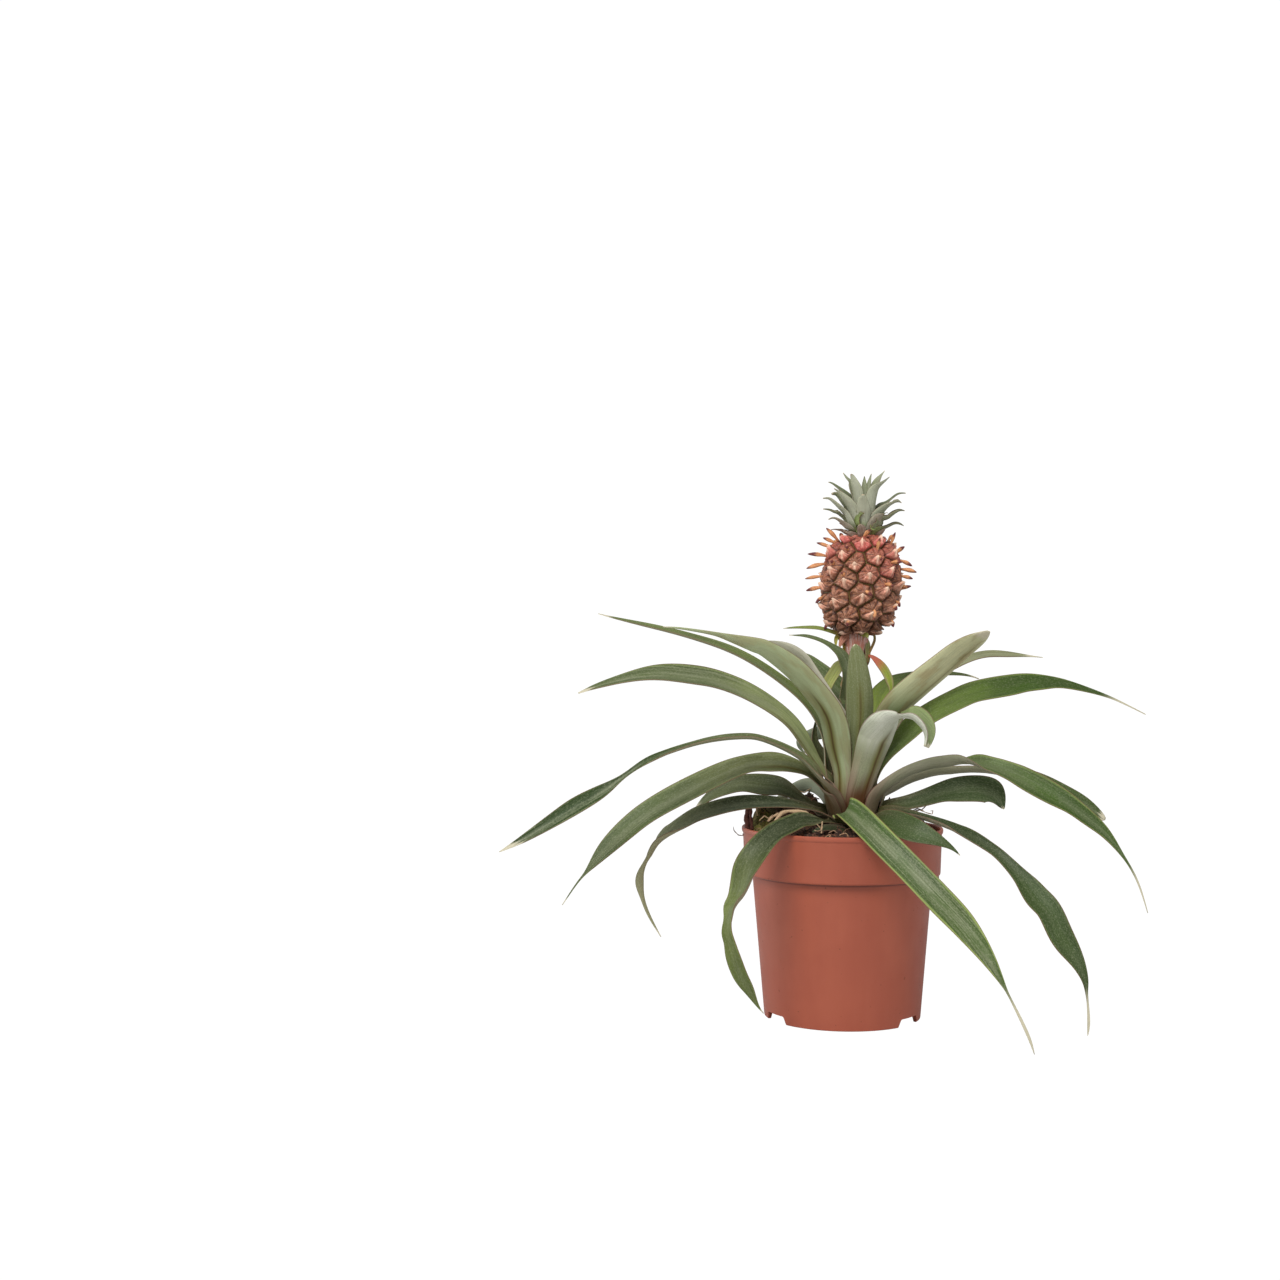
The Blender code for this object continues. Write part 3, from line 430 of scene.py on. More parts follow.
LEAVES = (
    # leaf_front_small: both faces are tinted near-black green for painted shade under the leaves above
    Leaf("leaf_front_small", -112, 113, 30, ((0, 60), (1, 50)), LeafLook((40, 50, 28), (48, 50, 34), 0.05, 0.0, 0.0),
         ((4, 111.5, 24, 7), (-4, 112.3, 33, 7), (-12, 112, 42, 5), (-18, 110.5, 46, 1)), foot=8),
    Leaf("leaf_back_low_right", 55, 115.3, 30, (), LeafLook((70, 84, 48)),
         ((20, 121, -22, 10), (32, 122, -40, 13), (42, 117, -60, 13), (50, 106, -78, 11), (56, 88, -92, 6),
          (58, 70, -98, 1))),
    Leaf("leaf_left_twisted", 196, 114.8, 30, ((0, 60), (0.55, 48), (0.66, 85), (0.76, 140), (1, 150)),
         LeafLook((48, 58, 32), (148, 146, 112), 0.16, 0.1, 0.05, 0.7, 0.1, 0.0, 0.22, (132, 138, 104)),
         ((-12, 122.5, 8, 4), (-20, 125.8, 10, 4), (-30, 128, 12, 5.6), (-60, 128.6, 15, 8.8), (-80, 124, 17, 9.1),
          (-90, 120.1, 19, 8.8), (-110, 106.5, 25, 4.4), (-114.8, 100.6, 26, 2), (-120.5, 90, 28, 2.8),
          (-122.6, 84, 30, 4.6), (-122.9, 79, 31, 4.9), (-121.5, 72, 32, 3), (-118, 62, 32, 2),
          (-109.7, 47, 33, 0.5))),
    Leaf("leaf_right_short", -70, 115.8, 25, ((0, 50), (0.3, 25), (1, 20)),
         LeafLook((64, 84, 36), scurf=0.1, hem=0.05, dry=0.02),
         ((19, 117, 26, 9), (25, 117.3, 36, 13.5), (32, 116, 46, 16.5), (40, 113, 56, 16.4), (48, 110, 62, 13.5),
          (65, 102, 67, 3.4), (71.5, 96.4, 67, 0.5))),
    Leaf("leaf_back_low_left", 125, 117.7, 30, (), LeafLook((70, 84, 48)),
         ((-8, 124, -20, 10), (-18, 126, -38, 13), (-28, 123, -58, 13), (-38, 112, -80, 10), (-46, 97, -96, 6),
          (-52, 78, -106, 1))),
    # leaf_front_left: the inner part of its upper face is tinted very dark green for painted shade from the leaves
    # above
    Leaf("leaf_front_left", -134, 114, 28,
         ((0, 60), (0.2, 35), (0.45, 25), (0.55, 58), (0.63, 72), (0.72, 40), (1, 20)),
         LeafLook((38, 48, 20), (150, 144, 118), 0.12, 0.25, 0.02, outer=(110, 122, 62)),
         ((-9, 117, 24, 3), (-18, 118, 32, 7.5), (-25, 117.8, 38, 10.8), (-32, 115, 45, 12.2), (-39, 111.6, 52, 12.6),
          (-46, 106, 59, 13.6), (-52, 99, 64, 15), (-56.5, 92, 67.5, 15.8), (-59.5, 85, 70, 14.6),
          (-64.2, 71.5, 74, 9.4), (-68.3, 65, 75.5, 6.4), (-69, 60, 76, 4.4), (-69.7, 50, 77, 6.4), (-68.2, 44, 77, 7),
          (-66.2, 36, 76.5, 9), (-61.2, 22.5, 75, 8.8), (-56.7, 15, 73.5, 6.5), (-51, 5, 71, 1.8),
          (-47.5, 0.5, 70, 0.5)), foot=14),
    Leaf("leaf_right_wavy", -36, 116, 38, ((0, 80), (0.33, 72), (0.41, 45), (0.5, 25), (1, 20)),
         LeafLook((46, 62, 26), (160, 158, 132), 0.1, 0.12, 0.12, outer=(56, 76, 26)),
         ((21.5, 120.5, 13, 9), (30, 122.5, 17, 7), (50, 118.5, 36, 8), (60, 115.3, 46, 8.4), (80, 106.9, 64, 6.6),
          (90, 100.8, 72, 6), (96, 96.4, 77, 6.6), (108.2, 84, 85, 10.2), (113.8, 77.3, 89, 13.6),
          (119.3, 70.3, 93, 15.4), (125.3, 63.8, 97, 15), (132.2, 50, 102, 14.4), (138, 40, 105, 12.4),
          (144, 30, 108.5, 7.9), (147.7, 20, 110.5, 3.9), (148.4, 14, 111, 2.1), (149.1, 7, 112, 1.4),
          (149.6, -6, 113, 1.7), (149, -12.8, 113, 0.5)), foot=16, wave=(0.8, 3.0)),
    Leaf("leaf_left_pale", 128, 116, 35, ((0, 150), (1, 150)), LeafLook(under=(160, 168, 146)),
         ((-9, 131, -18, 8), (-18, 138.5, -28, 9), (-27, 137.5, -36, 7.5), (-36, 132, -42, 5), (-44, 123, -50, 1))),
    Leaf("leaf_front_long", -96, 114, 34, ((0, 22), (1, 15)),
         LeafLook((70, 94, 42), (122, 116, 66), 0.55, 1.0, 0.2, outer=(72, 94, 36), base=0.0),
         ((3.2, 119, 19, 16), (2.8, 123.3, 26, 16.2), (5.6, 122.6, 34, 16.6), (22, 107.5, 66, 16.9),
          (40, 89.8, 82, 16.8), (60, 69, 94, 17.2), (70, 58.5, 98, 16.5), (78, 48.8, 102, 14.4),
          (90.5, 30.8, 109, 7.9), (98.6, 16.5, 113, 2.3), (101.5, 10.8, 114, 1.4), (113, -13, 118, 1.9),
          (116.8, -24.3, 118, 0.4)), foot=16, tilt=30),
    Leaf("leaf_right_behind", 27, 118, 34, ((0, 120), (0.4, 115), (0.6, 60), (1, 50)),
         LeafLook((62, 82, 26), (150, 148, 120), 0.25, 0.1, 0.03, 0.4, 0.8, 0.0, 0.4),
         ((20.5, 126.5, -6, 8), (24, 131.5, -6, 6), (40, 141.8, -13, 6), (50, 145.2, -16, 5.6), (60, 147.1, -19, 5.8),
          (80, 147.3, -25, 5.8), (105, 145.6, -31, 8), (121, 141, -34, 9.5), (135, 134.2, -37, 10),
          (145, 128.8, -39, 9.4), (153, 123.4, -40, 7.2), (158, 119.8, -41, 4), (159.8, 118.6, -41, 1.5))),
    Leaf("leaf_left_under", 165, 117, 28, ((0, 70), (0.3, 45), (1, 40)),
         LeafLook((58, 68, 36), scurf=0.2, dry=0.14, outer=(88, 96, 58)),
         ((-12, 124, -5, 8), (-20, 128.5, -6, 5), (-26, 131.8, -7, 6), (-36, 137.8, -8.5, 10.5), (-42, 139, -9, 12.4),
          (-50, 139.7, -9, 12.6), (-60, 140.4, -9, 10.4), (-70, 138, -9, 9), (-78, 134, -8.5, 6.6),
          (-85, 128.3, -8, 3.6), (-89, 122, -7.5, 2.4), (-91, 116.5, -7, 0.7))),
    Leaf("leaf_right_bent", -9, 117, 28, ((0, 75), (0.3, 50), (1, 35)),
         LeafLook((60, 78, 38), scurf=0.22, hem=0.08, dry=0.02),
         ((22, 123, 4, 9), (28, 127, 4, 6), (40, 128.8, 6, 8.6), (60, 135, 10, 12), (70, 136.7, 12, 15),
          (87, 136.4, 14, 16), (92, 134.2, 15, 14.5), (95.2, 130.8, 16, 9), (97.4, 126.3, 16, 3.5),
          (98.4, 124.6, 16, 1))),
    Leaf("leaf_left_wide", -160, 117, 32, ((0, 75), (0.2, 50), (1, 38)),
         LeafLook((108, 114, 70), (160, 162, 132), 0.4, 0.2, 0.03, 0.8, 0.35, 0.06, 0.38, (84, 98, 52), 0.8),
         ((-8.5, 129.5, 7, 9), (-12, 138, 8, 6), (-20, 147, 12, 6), (-30, 151.4, 14, 9), (-40, 153.3, 16, 12),
          (-50, 152.7, 18, 12.6), (-60, 151.2, 22, 12), (-70, 147.8, 25, 13), (-100, 132.8, 34, 14.4),
          (-120, 121, 40, 13.2), (-130, 113, 42, 12.6), (-145, 98.5, 45.5, 8.7), (-155, 86.5, 47.5, 2.2),
          (-160, 80.5, 48.5, 1.1), (-169.7, 66.4, 50, 0.5)), foot=15),
    Leaf("leaf_right_long", -25, 117.5, 46, ((0, 125), (0.31, 120), (0.37, 86), (0.43, 50), (0.52, 35), (1, 25)),
         LeafLook((98, 116, 62), (166, 164, 140), 0.2, 0.5, 0.14, outer=(62, 88, 24), base=0.7),
         ((19.6, 127.5, 7, 11), (22, 134.5, 8, 7.6), (30, 142.2, 9, 6.4), (40, 148, 11, 6.2), (50, 151.4, 14, 6.8),
          (60, 153.4, 17, 6.7), (72.8, 153.7, 21, 4.8), (77.6, 153.6, 23, 5), (87.3, 152.5, 27, 8),
          (101.9, 147.6, 32, 10.9), (110, 143.6, 34, 13), (130, 132.6, 40, 13), (140, 126.5, 43, 10.6),
          (150, 118.8, 45, 9), (160, 110, 47, 6.1), (170, 97, 49.5, 2.2), (175, 89.3, 50.5, 1.4), (180, 79, 51.5, 1.2),
          (185.5, 61.5, 52, 0.5)), foot=14),
    Leaf("leaf_back_arched", 97, 122, 35, (), LeafLook((84, 102, 54)),
         ((6, 153, -20, 12), (5, 176, -38, 16), (4, 186, -62, 16), (3, 186, -84, 13), (2, 174, -102, 9),
          (1, 154, -113, 5), (0, 132, -118, 1))),
    Leaf("leaf_left_long", -140, 117, 38, ((0, 70), (0.25, 75), (0.5, 80), (0.58, 68), (0.66, 25), (1, 25)),
         LeafLook((100, 110, 66), (146, 144, 114), 0.4, 0.2, 0.05, 1.0, 0.3, 0.0, 0.36, (46, 66, 24), 0.9),
         ((-4.6, 127, 11.5, 13), (-8, 134.5, 14, 11), (-20, 150.4, 21, 6.6), (-30, 158.3, 27, 6),
          (-50, 166.8, 37, 4.8), (-60, 167.8, 42, 5.4), (-80, 165.7, 51, 4.8), (-110, 157.4, 66, 4),
          (-120, 152.9, 70, 3.8), (-133, 144, 75.5, 3.2), (-145, 135.8, 80, 7.6), (-160, 127.2, 85, 10.2),
          (-170, 121, 88, 9.4), (-190, 108.4, 93, 5.4), (-200, 102.6, 94.5, 2.8), (-207.8, 98.5, 95, 0.5)), foot=14),
    Leaf("leaf_left_arched", 188, 122, 33, ((0, 75), (0.15, 60), (0.5, 58), (1, 55)),
         LeafLook((148, 158, 104), (190, 188, 162), 0.5, 0.3, 0.05, 0.8, 0.45, 0.04, 0.46, (88, 100, 58), 0.6),
         ((-5.8, 132, 2, 7), (-6, 141, 3, 5), (-9.1, 145, 4, 3.8), (-21.8, 165, 8.5, 7.9), (-30, 176.5, 11, 9),
          (-40, 185.1, 14, 10), (-60, 196.7, 20, 11.6), (-80, 203.7, 26, 12), (-90, 205.4, 28.5, 12.4),
          (-110, 207, 33.5, 10.4), (-130, 204.5, 38, 6.2), (-150, 198.9, 42, 2.9), (-160, 195, 44, 0.6))),
    # leaf_front_hooked: its streak along the fold is partly brown colour and partly painted shade of the fold's valley
    Leaf("leaf_front_hooked", -84, 119, 52, ((0, 172), (0.5, 168), (0.6, 130), (0.68, 100), (0.78, 76), (1, 68)),
         LeafLook((128, 146, 84), (144, 144, 118), 0.3, 0.1, 0.02, 1.0, 0.38, 0.05, 0.6, base=1.0,
          outer=(136, 152, 98), outer_under=(236, 238, 220)),
         ((9, 127, 14.5, 14), (14.6, 150, 22, 17), (21, 169, 31, 20.5), (26.3, 177, 36, 15.6), (31.6, 179.4, 40, 7.5),
          (37, 180.4, 43, 4.6), (41.5, 181.4, 46, 6.8), (46.3, 181.2, 48, 9.4), (51, 177.4, 49.5, 9.6),
          (53.2, 172.8, 50, 7.4), (53.2, 167.4, 50, 5), (52, 163.2, 50, 3.2), (51.5, 161.9, 50, 2)), foot=15),
    Leaf("leaf_right_green", 24, 124, 28, ((0, 70), (0.2, 45), (1, 42)),
         LeafLook((104, 124, 54), (176, 182, 140), 0.02, 0.5, 0.14, outer=(58, 84, 16)),
         ((17, 138, -4, 7), (31, 163, -12, 12.5), (40, 171.8, -16, 13.6), (50, 179.8, -20, 13.8),
          (70, 190.7, -29, 14.5), (80, 195, -33, 14.4), (100, 199.2, -40, 14.2), (110, 201, -43, 12.5),
          (120, 201.5, -46, 10.3), (130, 201.2, -49, 7), (140, 199.3, -51, 4.8), (160, 193.1, -55, 1.8),
          (170, 188.8, -56, 1), (184, 181.8, -57, 0.5))),
    Leaf("leaf_left_curled", 134, 126, 30, ((0, 150), (1, 150)), LeafLook(under=(150, 160, 136)),
         ((-4, 152, -12, 7), (-5, 164, -20, 8), (-10, 170.5, -26, 8.5), (-18, 169.3, -30, 7.5),
          (-25.5, 165.3, -33, 4.2), (-24.6, 160.6, -34, 1.6), (-20, 157.2, -34, 0.5))),
    Leaf("leaf_right_blunt", -38, 124, 38, ((0, 150), (0.3, 145), (1, 140)),
         LeafLook((90, 104, 52), (160, 172, 132), 0.3, 0.25, 0.07, 0.5, 0.45, 0.35, 0.95, base=0.8, stain=0.55,
          outer_under=(206, 204, 160)),
         ((16.4, 138, 9, 10), (17, 150, 10, 9), (20, 163, 17, 12), (25, 175, 25, 15.5), (32, 185.5, 33, 17),
          (40, 193.6, 41, 17.5), (60, 210.3, 62, 16.2), (70, 218.6, 75, 15.4), (78, 224.6, 87, 12.8),
          (84, 228.8, 96, 8.6), (87, 231, 101, 5), (88.9, 232.4, 104, 2)), foot=14),
    Leaf("leaf_left_broad", -130, 120, 36, ((0, 165), (0.2, 150), (1, 142)),
         LeafLook((96, 110, 52), (180, 190, 146), 0.3, 0.1, 0.04, 1.0, -0.1, 0.0, 0.5, base=0.85, stain=0.35),
         ((0.3, 131, 10.5, 11), (0.3, 146, 10.5, 10.8), (-2.4, 161.5, 15, 16), (-6.6, 180, 26, 16.6),
          (-15, 193.2, 36, 15.4), (-25, 205, 46, 14.9), (-35, 214.1, 54, 13.6), (-45, 220.9, 61, 11.2),
          (-50, 223.2, 64, 10.2), (-70, 229.1, 73, 4.1), (-80, 231.4, 78, 2.3), (-100, 234.3, 85, 1.2),
          (-108.5, 234.9, 88, 0.4)), foot=12),
    Leaf("leaf_right_far", 30, 126, 30, ((0, 60), (1, 50)), LeafLook((144, 146, 108), scurf=0.5, dry=0.08),
         ((17, 150, -6, 6), (24, 165, -9, 8), (38, 187, -16, 8.5), (50, 200.5, -22, 8), (62, 208.8, -27, 7.5),
          (83, 217.4, -39, 5.4), (98, 218.3, -46, 4.2), (115, 217, -52, 1), (121.8, 216.3, -54, 0.4))),
    Leaf("leaf_left_thin", 162, 126, 36, ((0, 60), (1, 66)), LeafLook((98, 112, 54), scurf=0.25, hem=0.4),
         ((-7, 152, -6, 6), (-8, 165, -8, 6.5), (-12, 177, -10.5, 6.5), (-20, 188.9, -14, 6), (-30, 198.3, -17, 5.4),
          (-50, 212.3, -24, 5), (-70, 222.4, -31, 4.3), (-90, 228.9, -36.5, 3.2), (-110, 234.2, -42, 2.7),
          (-140, 241.1, -49, 1.1), (-147.5, 243.1, -51, 0.4))),
    Leaf("leaf_front_upright", -92, 128, 48, ((0, 176), (1, 178)),
         LeafLook((96, 110, 54), (120, 126, 84), 0.3, 0.12, 0.004, 0.6, 0.05, 0.2, 0.8, base=0.9),
         ((7, 138, 12, 12), (7.5, 150, 13, 12), (10, 172, 17, 15.4), (10.7, 184, 19, 16.5), (10.5, 196, 21.5, 16),
          (9.1, 216, 25, 10), (8.6, 220.5, 25.6, 7.2), (8.1, 223.2, 26, 4), (7.8, 224.5, 26, 1.2)), foot=18),
    Leaf("leaf_back_right", 45, 128, 32, ((0, 0), (0.4, 10), (1, 55)),
         LeafLook((172, 198, 84), scurf=0.1, dry=0.05, base=0.4, outer=(90, 106, 52)),
         ((14, 168, -10, 9), (18, 182, -15, 11), (21.5, 191.5, -21, 11.5), (26, 198, -28, 9.5), (32, 202, -35, 8),
          (50, 206.3, -49, 5), (60, 206.9, -56, 3.4), (76, 205.5, -65, 1.4), (83, 203.3, -68, 0.4))),
    Leaf("leaf_left_back", 130, 130, 34, ((0, 45), (1, 45)), LeafLook((80, 98, 46), scurf=0.25),
         ((5, 180, -12, 10), (3, 190, -18, 12), (-2.5, 198, -26, 13), (-17, 210.3, -40, 11), (-23.5, 215, -46, 9),
          (-29, 216.5, -52, 5), (-33, 215, -56, 1))),
)

SLIPS = (
    Leaf("leaf_slip_dark", 175, 137, 30, ((0, 40), (1, 40)), LeafLook((62, 66, 34), scurf=0.1, hem=0.0),
         ((-6, 146, -4, 7), (-9, 152, -6, 7.5), (-13, 159, -8, 6.5), (-16.3, 166, -9, 4), (-16.6, 172, -10, 2.6),
          (-15.8, 179, -10, 0.5))),
    Leaf("leaf_slip_cream", -165, 145, 30, ((0, 160), (1, 160)), LeafLook(under=(212, 207, 186), dry=0.02),
         ((2, 176, 10, 6), (-4, 188, 18, 6), (-20, 211.9, 30, 6), (-22.9, 215.7, 32, 6.2), (-32.2, 222.3, 36, 5.6),
          (-43.3, 226.2, 39, 1.2), (-46, 226.5, 40, 0.4))),
    Leaf("bract_slip_salmon", 170, 222, 24, ((0, 10), (1, 10)), LeafLook((214, 138, 116), scurf=0.1, hem=0.0),
         ((5.4, 228.4, 5, 2.5), (3, 229.4, 5.5, 3.8), (0.8, 227.8, 6, 4), (-0.8, 224.8, 6, 2.6),
          (-1.6, 222, 6, 0.6)), foot=3),
)

BRACTS = (
    Leaf("bract_left_low", 200, 190, 30, ((0, 30), (1, 40)), LeafLook((92, 106, 62), hem=0.2, dry=0.05, base=0.0),
         ((2.8, 204, 6, 5), (2.6, 212, 6, 7), (0.3, 217.7, 7, 6.8), (-3, 221.2, 8, 4.8), (-11, 226.2, 10, 2.6),
          (-22, 229.4, 12, 1.9), (-27, 229.7, 13.5, 1), (-32, 229.9, 15, 0.4)), foot=7),
    Leaf("bract_left_hook", 172, 198, 30, ((0, 20), (1, 20)), LeafLook((160, 166, 88), scurf=0.1),
         ((3, 206, -4, 5), (1.6, 211, -4, 6.4), (-1.4, 211.4, -4, 6.8), (-4.5, 207.5, -4, 7), (-7.5, 202.5, -4, 7),
          (-10, 197, -4, 6.4), (-12, 191, -4, 3)), foot=5),
    Leaf("bract_right_hook", -15, 214.5, 34, ((0, 20), (1, 20)),
         LeafLook((150, 164, 56), scurf=0.0, hem=0.1, dry=0.01, base=1.0),
         ((16.4, 217.4, 4, 1.6), (22, 213.7, 5, 4.2), (27.5, 206, 5.8, 5), (29.2, 201.5, 6, 4.4),
          (29.8, 197.5, 6, 2.4), (29, 194.8, 6, 0.5)), foot=3),
    Leaf("bract_back", 60, 208, 30, ((0, 60), (1, 60)), LeafLook((150, 146, 72)),
         ((15.4, 214, 3, 2.6), (16, 220, 3, 3.2), (15.6, 225, 2, 2.6), (15, 228, 1, 1)), foot=4),
    Leaf("bract_left_small", 176, 219, 24, ((0, 10), (1, 10)), LeafLook((196, 188, 84), scurf=0.0, base=0.1),
         ((1.6, 222.5, 1, 2.2), (-0.8, 227.5, 1, 2.5), (-2.6, 229.3, 1, 2.5), (-3.6, 227, 1, 2.3),
          (-3.5, 223.4, 1, 0.8)), foot=2.4),
    Leaf("bract_front", -65, 229, 30, ((0, 20), (1, 20)), LeafLook((128, 156, 58), scurf=0.0, base=0.2),
         ((11.4, 231.8, 9, 3), (13, 231.2, 11, 4.6), (14.8, 230, 12, 3.2), (16, 228, 12.6, 0.6)), foot=3.4),
    Leaf("bract_right_thin", 10, 215, 24, ((0, 20), (1, 20)), LeafLook((176, 158, 92), scurf=0.1, base=0.3),
         ((17, 220, 2, 1.5), (18.6, 223.5, 2, 1.7), (19.8, 228, 2, 1.6), (18.9, 231.5, 2, 1.3),
          (18.3, 233.5, 2, 0.5)), foot=1.6),
    Leaf("bract_left_high", 188, 224, 30, ((0, 40), (1, 40)), LeafLook((134, 150, 66), scurf=0.1, dry=0.08, base=0.4),
         ((1, 228.8, 3, 2.6), (-2, 230.6, 3, 2.5), (-12, 234, 5.5, 2.3), (-18, 234.9, 6, 2.2), (-31, 234.3, 7.5, 1),
          (-35.5, 233.8, 8, 0.3)), foot=3),
)


def seen_points(stations: Array | tuple | list) -> Array:
    """Turns stations as they look from the viewing point into real ones.

    What is nearer is smaller than it looks: all but the depth is scaled by
    (VIEW_DISTANCE - towards) / VIEW_DISTANCE.

    Args:
        stations: rows of (across, up, towards), and a breadth where they have one.

    Returns:
        Rows of (x, y, z), and the breadths.
    """
    across, up, towards, *breadth = np.array(stations, dtype=float).T
    scale = (VIEW_DISTANCE - towards) / VIEW_DISTANCE
    x, z = VIEW_X + (across - VIEW_X) * scale, VIEW_HEIGHT + (up - VIEW_HEIGHT) * scale
    return np.stack([x, -towards, z, *(part * scale for part in breadth)], axis=-1)


@dataclass(frozen=True)
class StemShape:
    """The leaning stem's cone and the fruit's stalk above it."""

    x: float = 7.0
    low_z: float = 110.0
    cone_top_z: float = 163.0
    low_radius: float = 13.5
    high_radius: float = 5.5
    lean: float = 1.6
    top_z: float = 231.0

    def axis(self, height: float | Array) -> float | Array:
        """Returns how far right the middle lies: x + lean * (share of the height)^2."""
        share = np.maximum(height - self.low_z, 0.0) / (self.top_z - self.low_z)
        return self.x + self.lean * share ** 2

    def radius(self, height: float | Array) -> float | Array:
        """Returns the stem's radius: a cone that ends in an even stalk."""
        share = np.clip((height - self.low_z) / (self.cone_top_z - self.low_z), 0.0, 1.0)
        return self.low_radius + (self.high_radius - self.low_radius) * share


@dataclass(frozen=True)
class LeafFinish:
    """The strap leaves' two faces, their margins, streaks, dry tips and reddish feet, with a pale middle band on the
    upper face that is partly scurf and partly painted sheen.
    """

    name: str = "strap_leaf_skin"
    scurf: Colour = tint(164, 168, 136)
    shade: Colour = tint(40, 52, 24)
    hem: Colour = tint(152, 170, 92)
    edge: Colour = tint(112, 66, 58)
    streak_olive: Colour = tint(110, 104, 30)
    streak_brown: Colour = tint(80, 56, 30)
    dry: Colour = tint(206, 198, 172)
    stain: Colour = tint(156, 116, 66)
    base: Colour = tint(86, 46, 12)
    base_scurf: Colour = tint(172, 148, 128)
    base_reach: float = 38.0

    def paint(self) -> bpy.types.Material:
        """Lays out the material.

        Returns:
            The material, which reads all the marks of a blade.
        """
        paint = Paint(self.name)
        along, across, offset = paint.mark("place")
        upper, share, seed = paint.mark("face")
        streak_at, streak_start, streak_stop = paint.mark("streak")
        scurf, dry, strength = paint.mark("tone")
        hem, reddish, stained = paint.mark("hem")
        edge = paint.math("ABSOLUTE", across)
        lines = paint.noise(paint.vector(offset * 0.8, along * 0.012, seed), 1.0, 3.0, 0.6)
        fine = paint.noise(paint.vector(offset * 3.6, along * 0.06, seed + 5.0), 1.0, 2.0)
        grain = paint.noise(paint.vector(offset * 1.7, along * 0.9, seed), 1.0, 4.0, 0.7)
        mottle = paint.noise(paint.vector(offset * 0.15, along * 0.035, seed + 9.0), 1.0, 2.0)

        top = paint.blend(paint.rise(mottle, 0.35, 0.65) * 0.32, paint.hue("top"), self.shade)
        top = paint.blend(paint.rise(lines + (grain - 0.5) * 0.5, 0.42, 0.75) * scurf * 0.8, top, self.scurf)
        top = paint.veil(top, self.shade, fine + (grain - 0.5) * 0.3, 0.46, 0.7, 0.38)
        # pale band down the middle of the upper face: partly silvery scurf, partly painted sheen
        channel = (1.0 - paint.rise(edge, 0.05, 0.6)) * paint.rise(mottle, 0.3, 0.6)
        top = paint.blend(channel * scurf * 0.6, top, self.scurf)
        under = paint.blend(paint.rise(mottle, 0.35, 0.65) * 0.2, paint.hue("under"), paint.hue("top"))
        under = paint.veil(under, self.scurf, lines + (grain - 0.5) * 0.5, 0.45, 0.75, 0.35)
        under = paint.veil(under, self.shade, fine + (grain - 0.5) * 0.4, 0.5, 0.78, 0.22)
        skin = paint.blend(paint.rise(upper, 0.45, 0.55), under, top)
        skin = paint.veil(skin, self.scurf, grain, 0.48, 0.72, 0.3)
        skin = paint.veil(skin, self.shade, 1.0 - grain, 0.5, 0.74, 0.22)
        blots = paint.rise(mottle + (grain - 0.5) * 0.25 + edge * 0.1, 0.56, 0.68) * stained
        skin = paint.blend(blots * 0.6, skin, self.stain)
        margin = paint.rise(edge + (lines - 0.5) * 0.3, 0.78, 0.97)
        skin = paint.blend(margin * hem * (0.2 + paint.rise(upper, 0.45, 0.55) * 0.65), skin, self.hem)

        zone = paint.rise(share, streak_start - 0.04, streak_start + 0.04)
        zone = zone * (1.0 - paint.rise(share, streak_stop - 0.14, streak_stop + 0.02)) * strength
        away = paint.math("ABSOLUTE", across - streak_at + (mottle - 0.5) * 0.2)
        skin = paint.blend(zone * (1.0 - paint.rise(away, 0.06, 0.36)) * 0.7, skin, self.streak_olive)
        skin = paint.blend(zone * (1.0 - paint.rise(away, 0.0, 0.12)) * 0.8, skin, self.streak_brown)
        low = 1.0 - paint.rise(along + (mottle - 0.5) * 16.0, 0.4 * self.base_reach, self.base_reach)
        skin = paint.blend(low * reddish * 0.94, skin, self.base)
        pale = paint.rise(along, 12.0, 24.0) * (1.0 - paint.rise(along, 30.0, 52.0)) * reddish
        skin = paint.blend(pale * paint.rise(edge + (lines - 0.5) * 1.1, 0.3, 0.9) * 0.5, skin, self.base_scurf)
        skin = paint.veil(skin, self.edge, edge, 0.94, 0.975, 0.65)
        tip = paint.rise(share + (lines - 0.5) * 0.1, 1.0 - dry, 1.0 - dry * 0.5)
        skin = paint.blend(tip * 0.9, skin, self.dry)

        height = lines * 0.7 + fine * 0.3 + grain * 0.25
        return paint.finish(
            Base_Color=skin,
            Roughness=0.6 - paint.rise(upper, 0.45, 0.55) * 0.14 + grain * 0.06,
            Specular_IOR_Level=0.28,
            Normal=paint.bump(height, 0.6, 0.0005),
        )


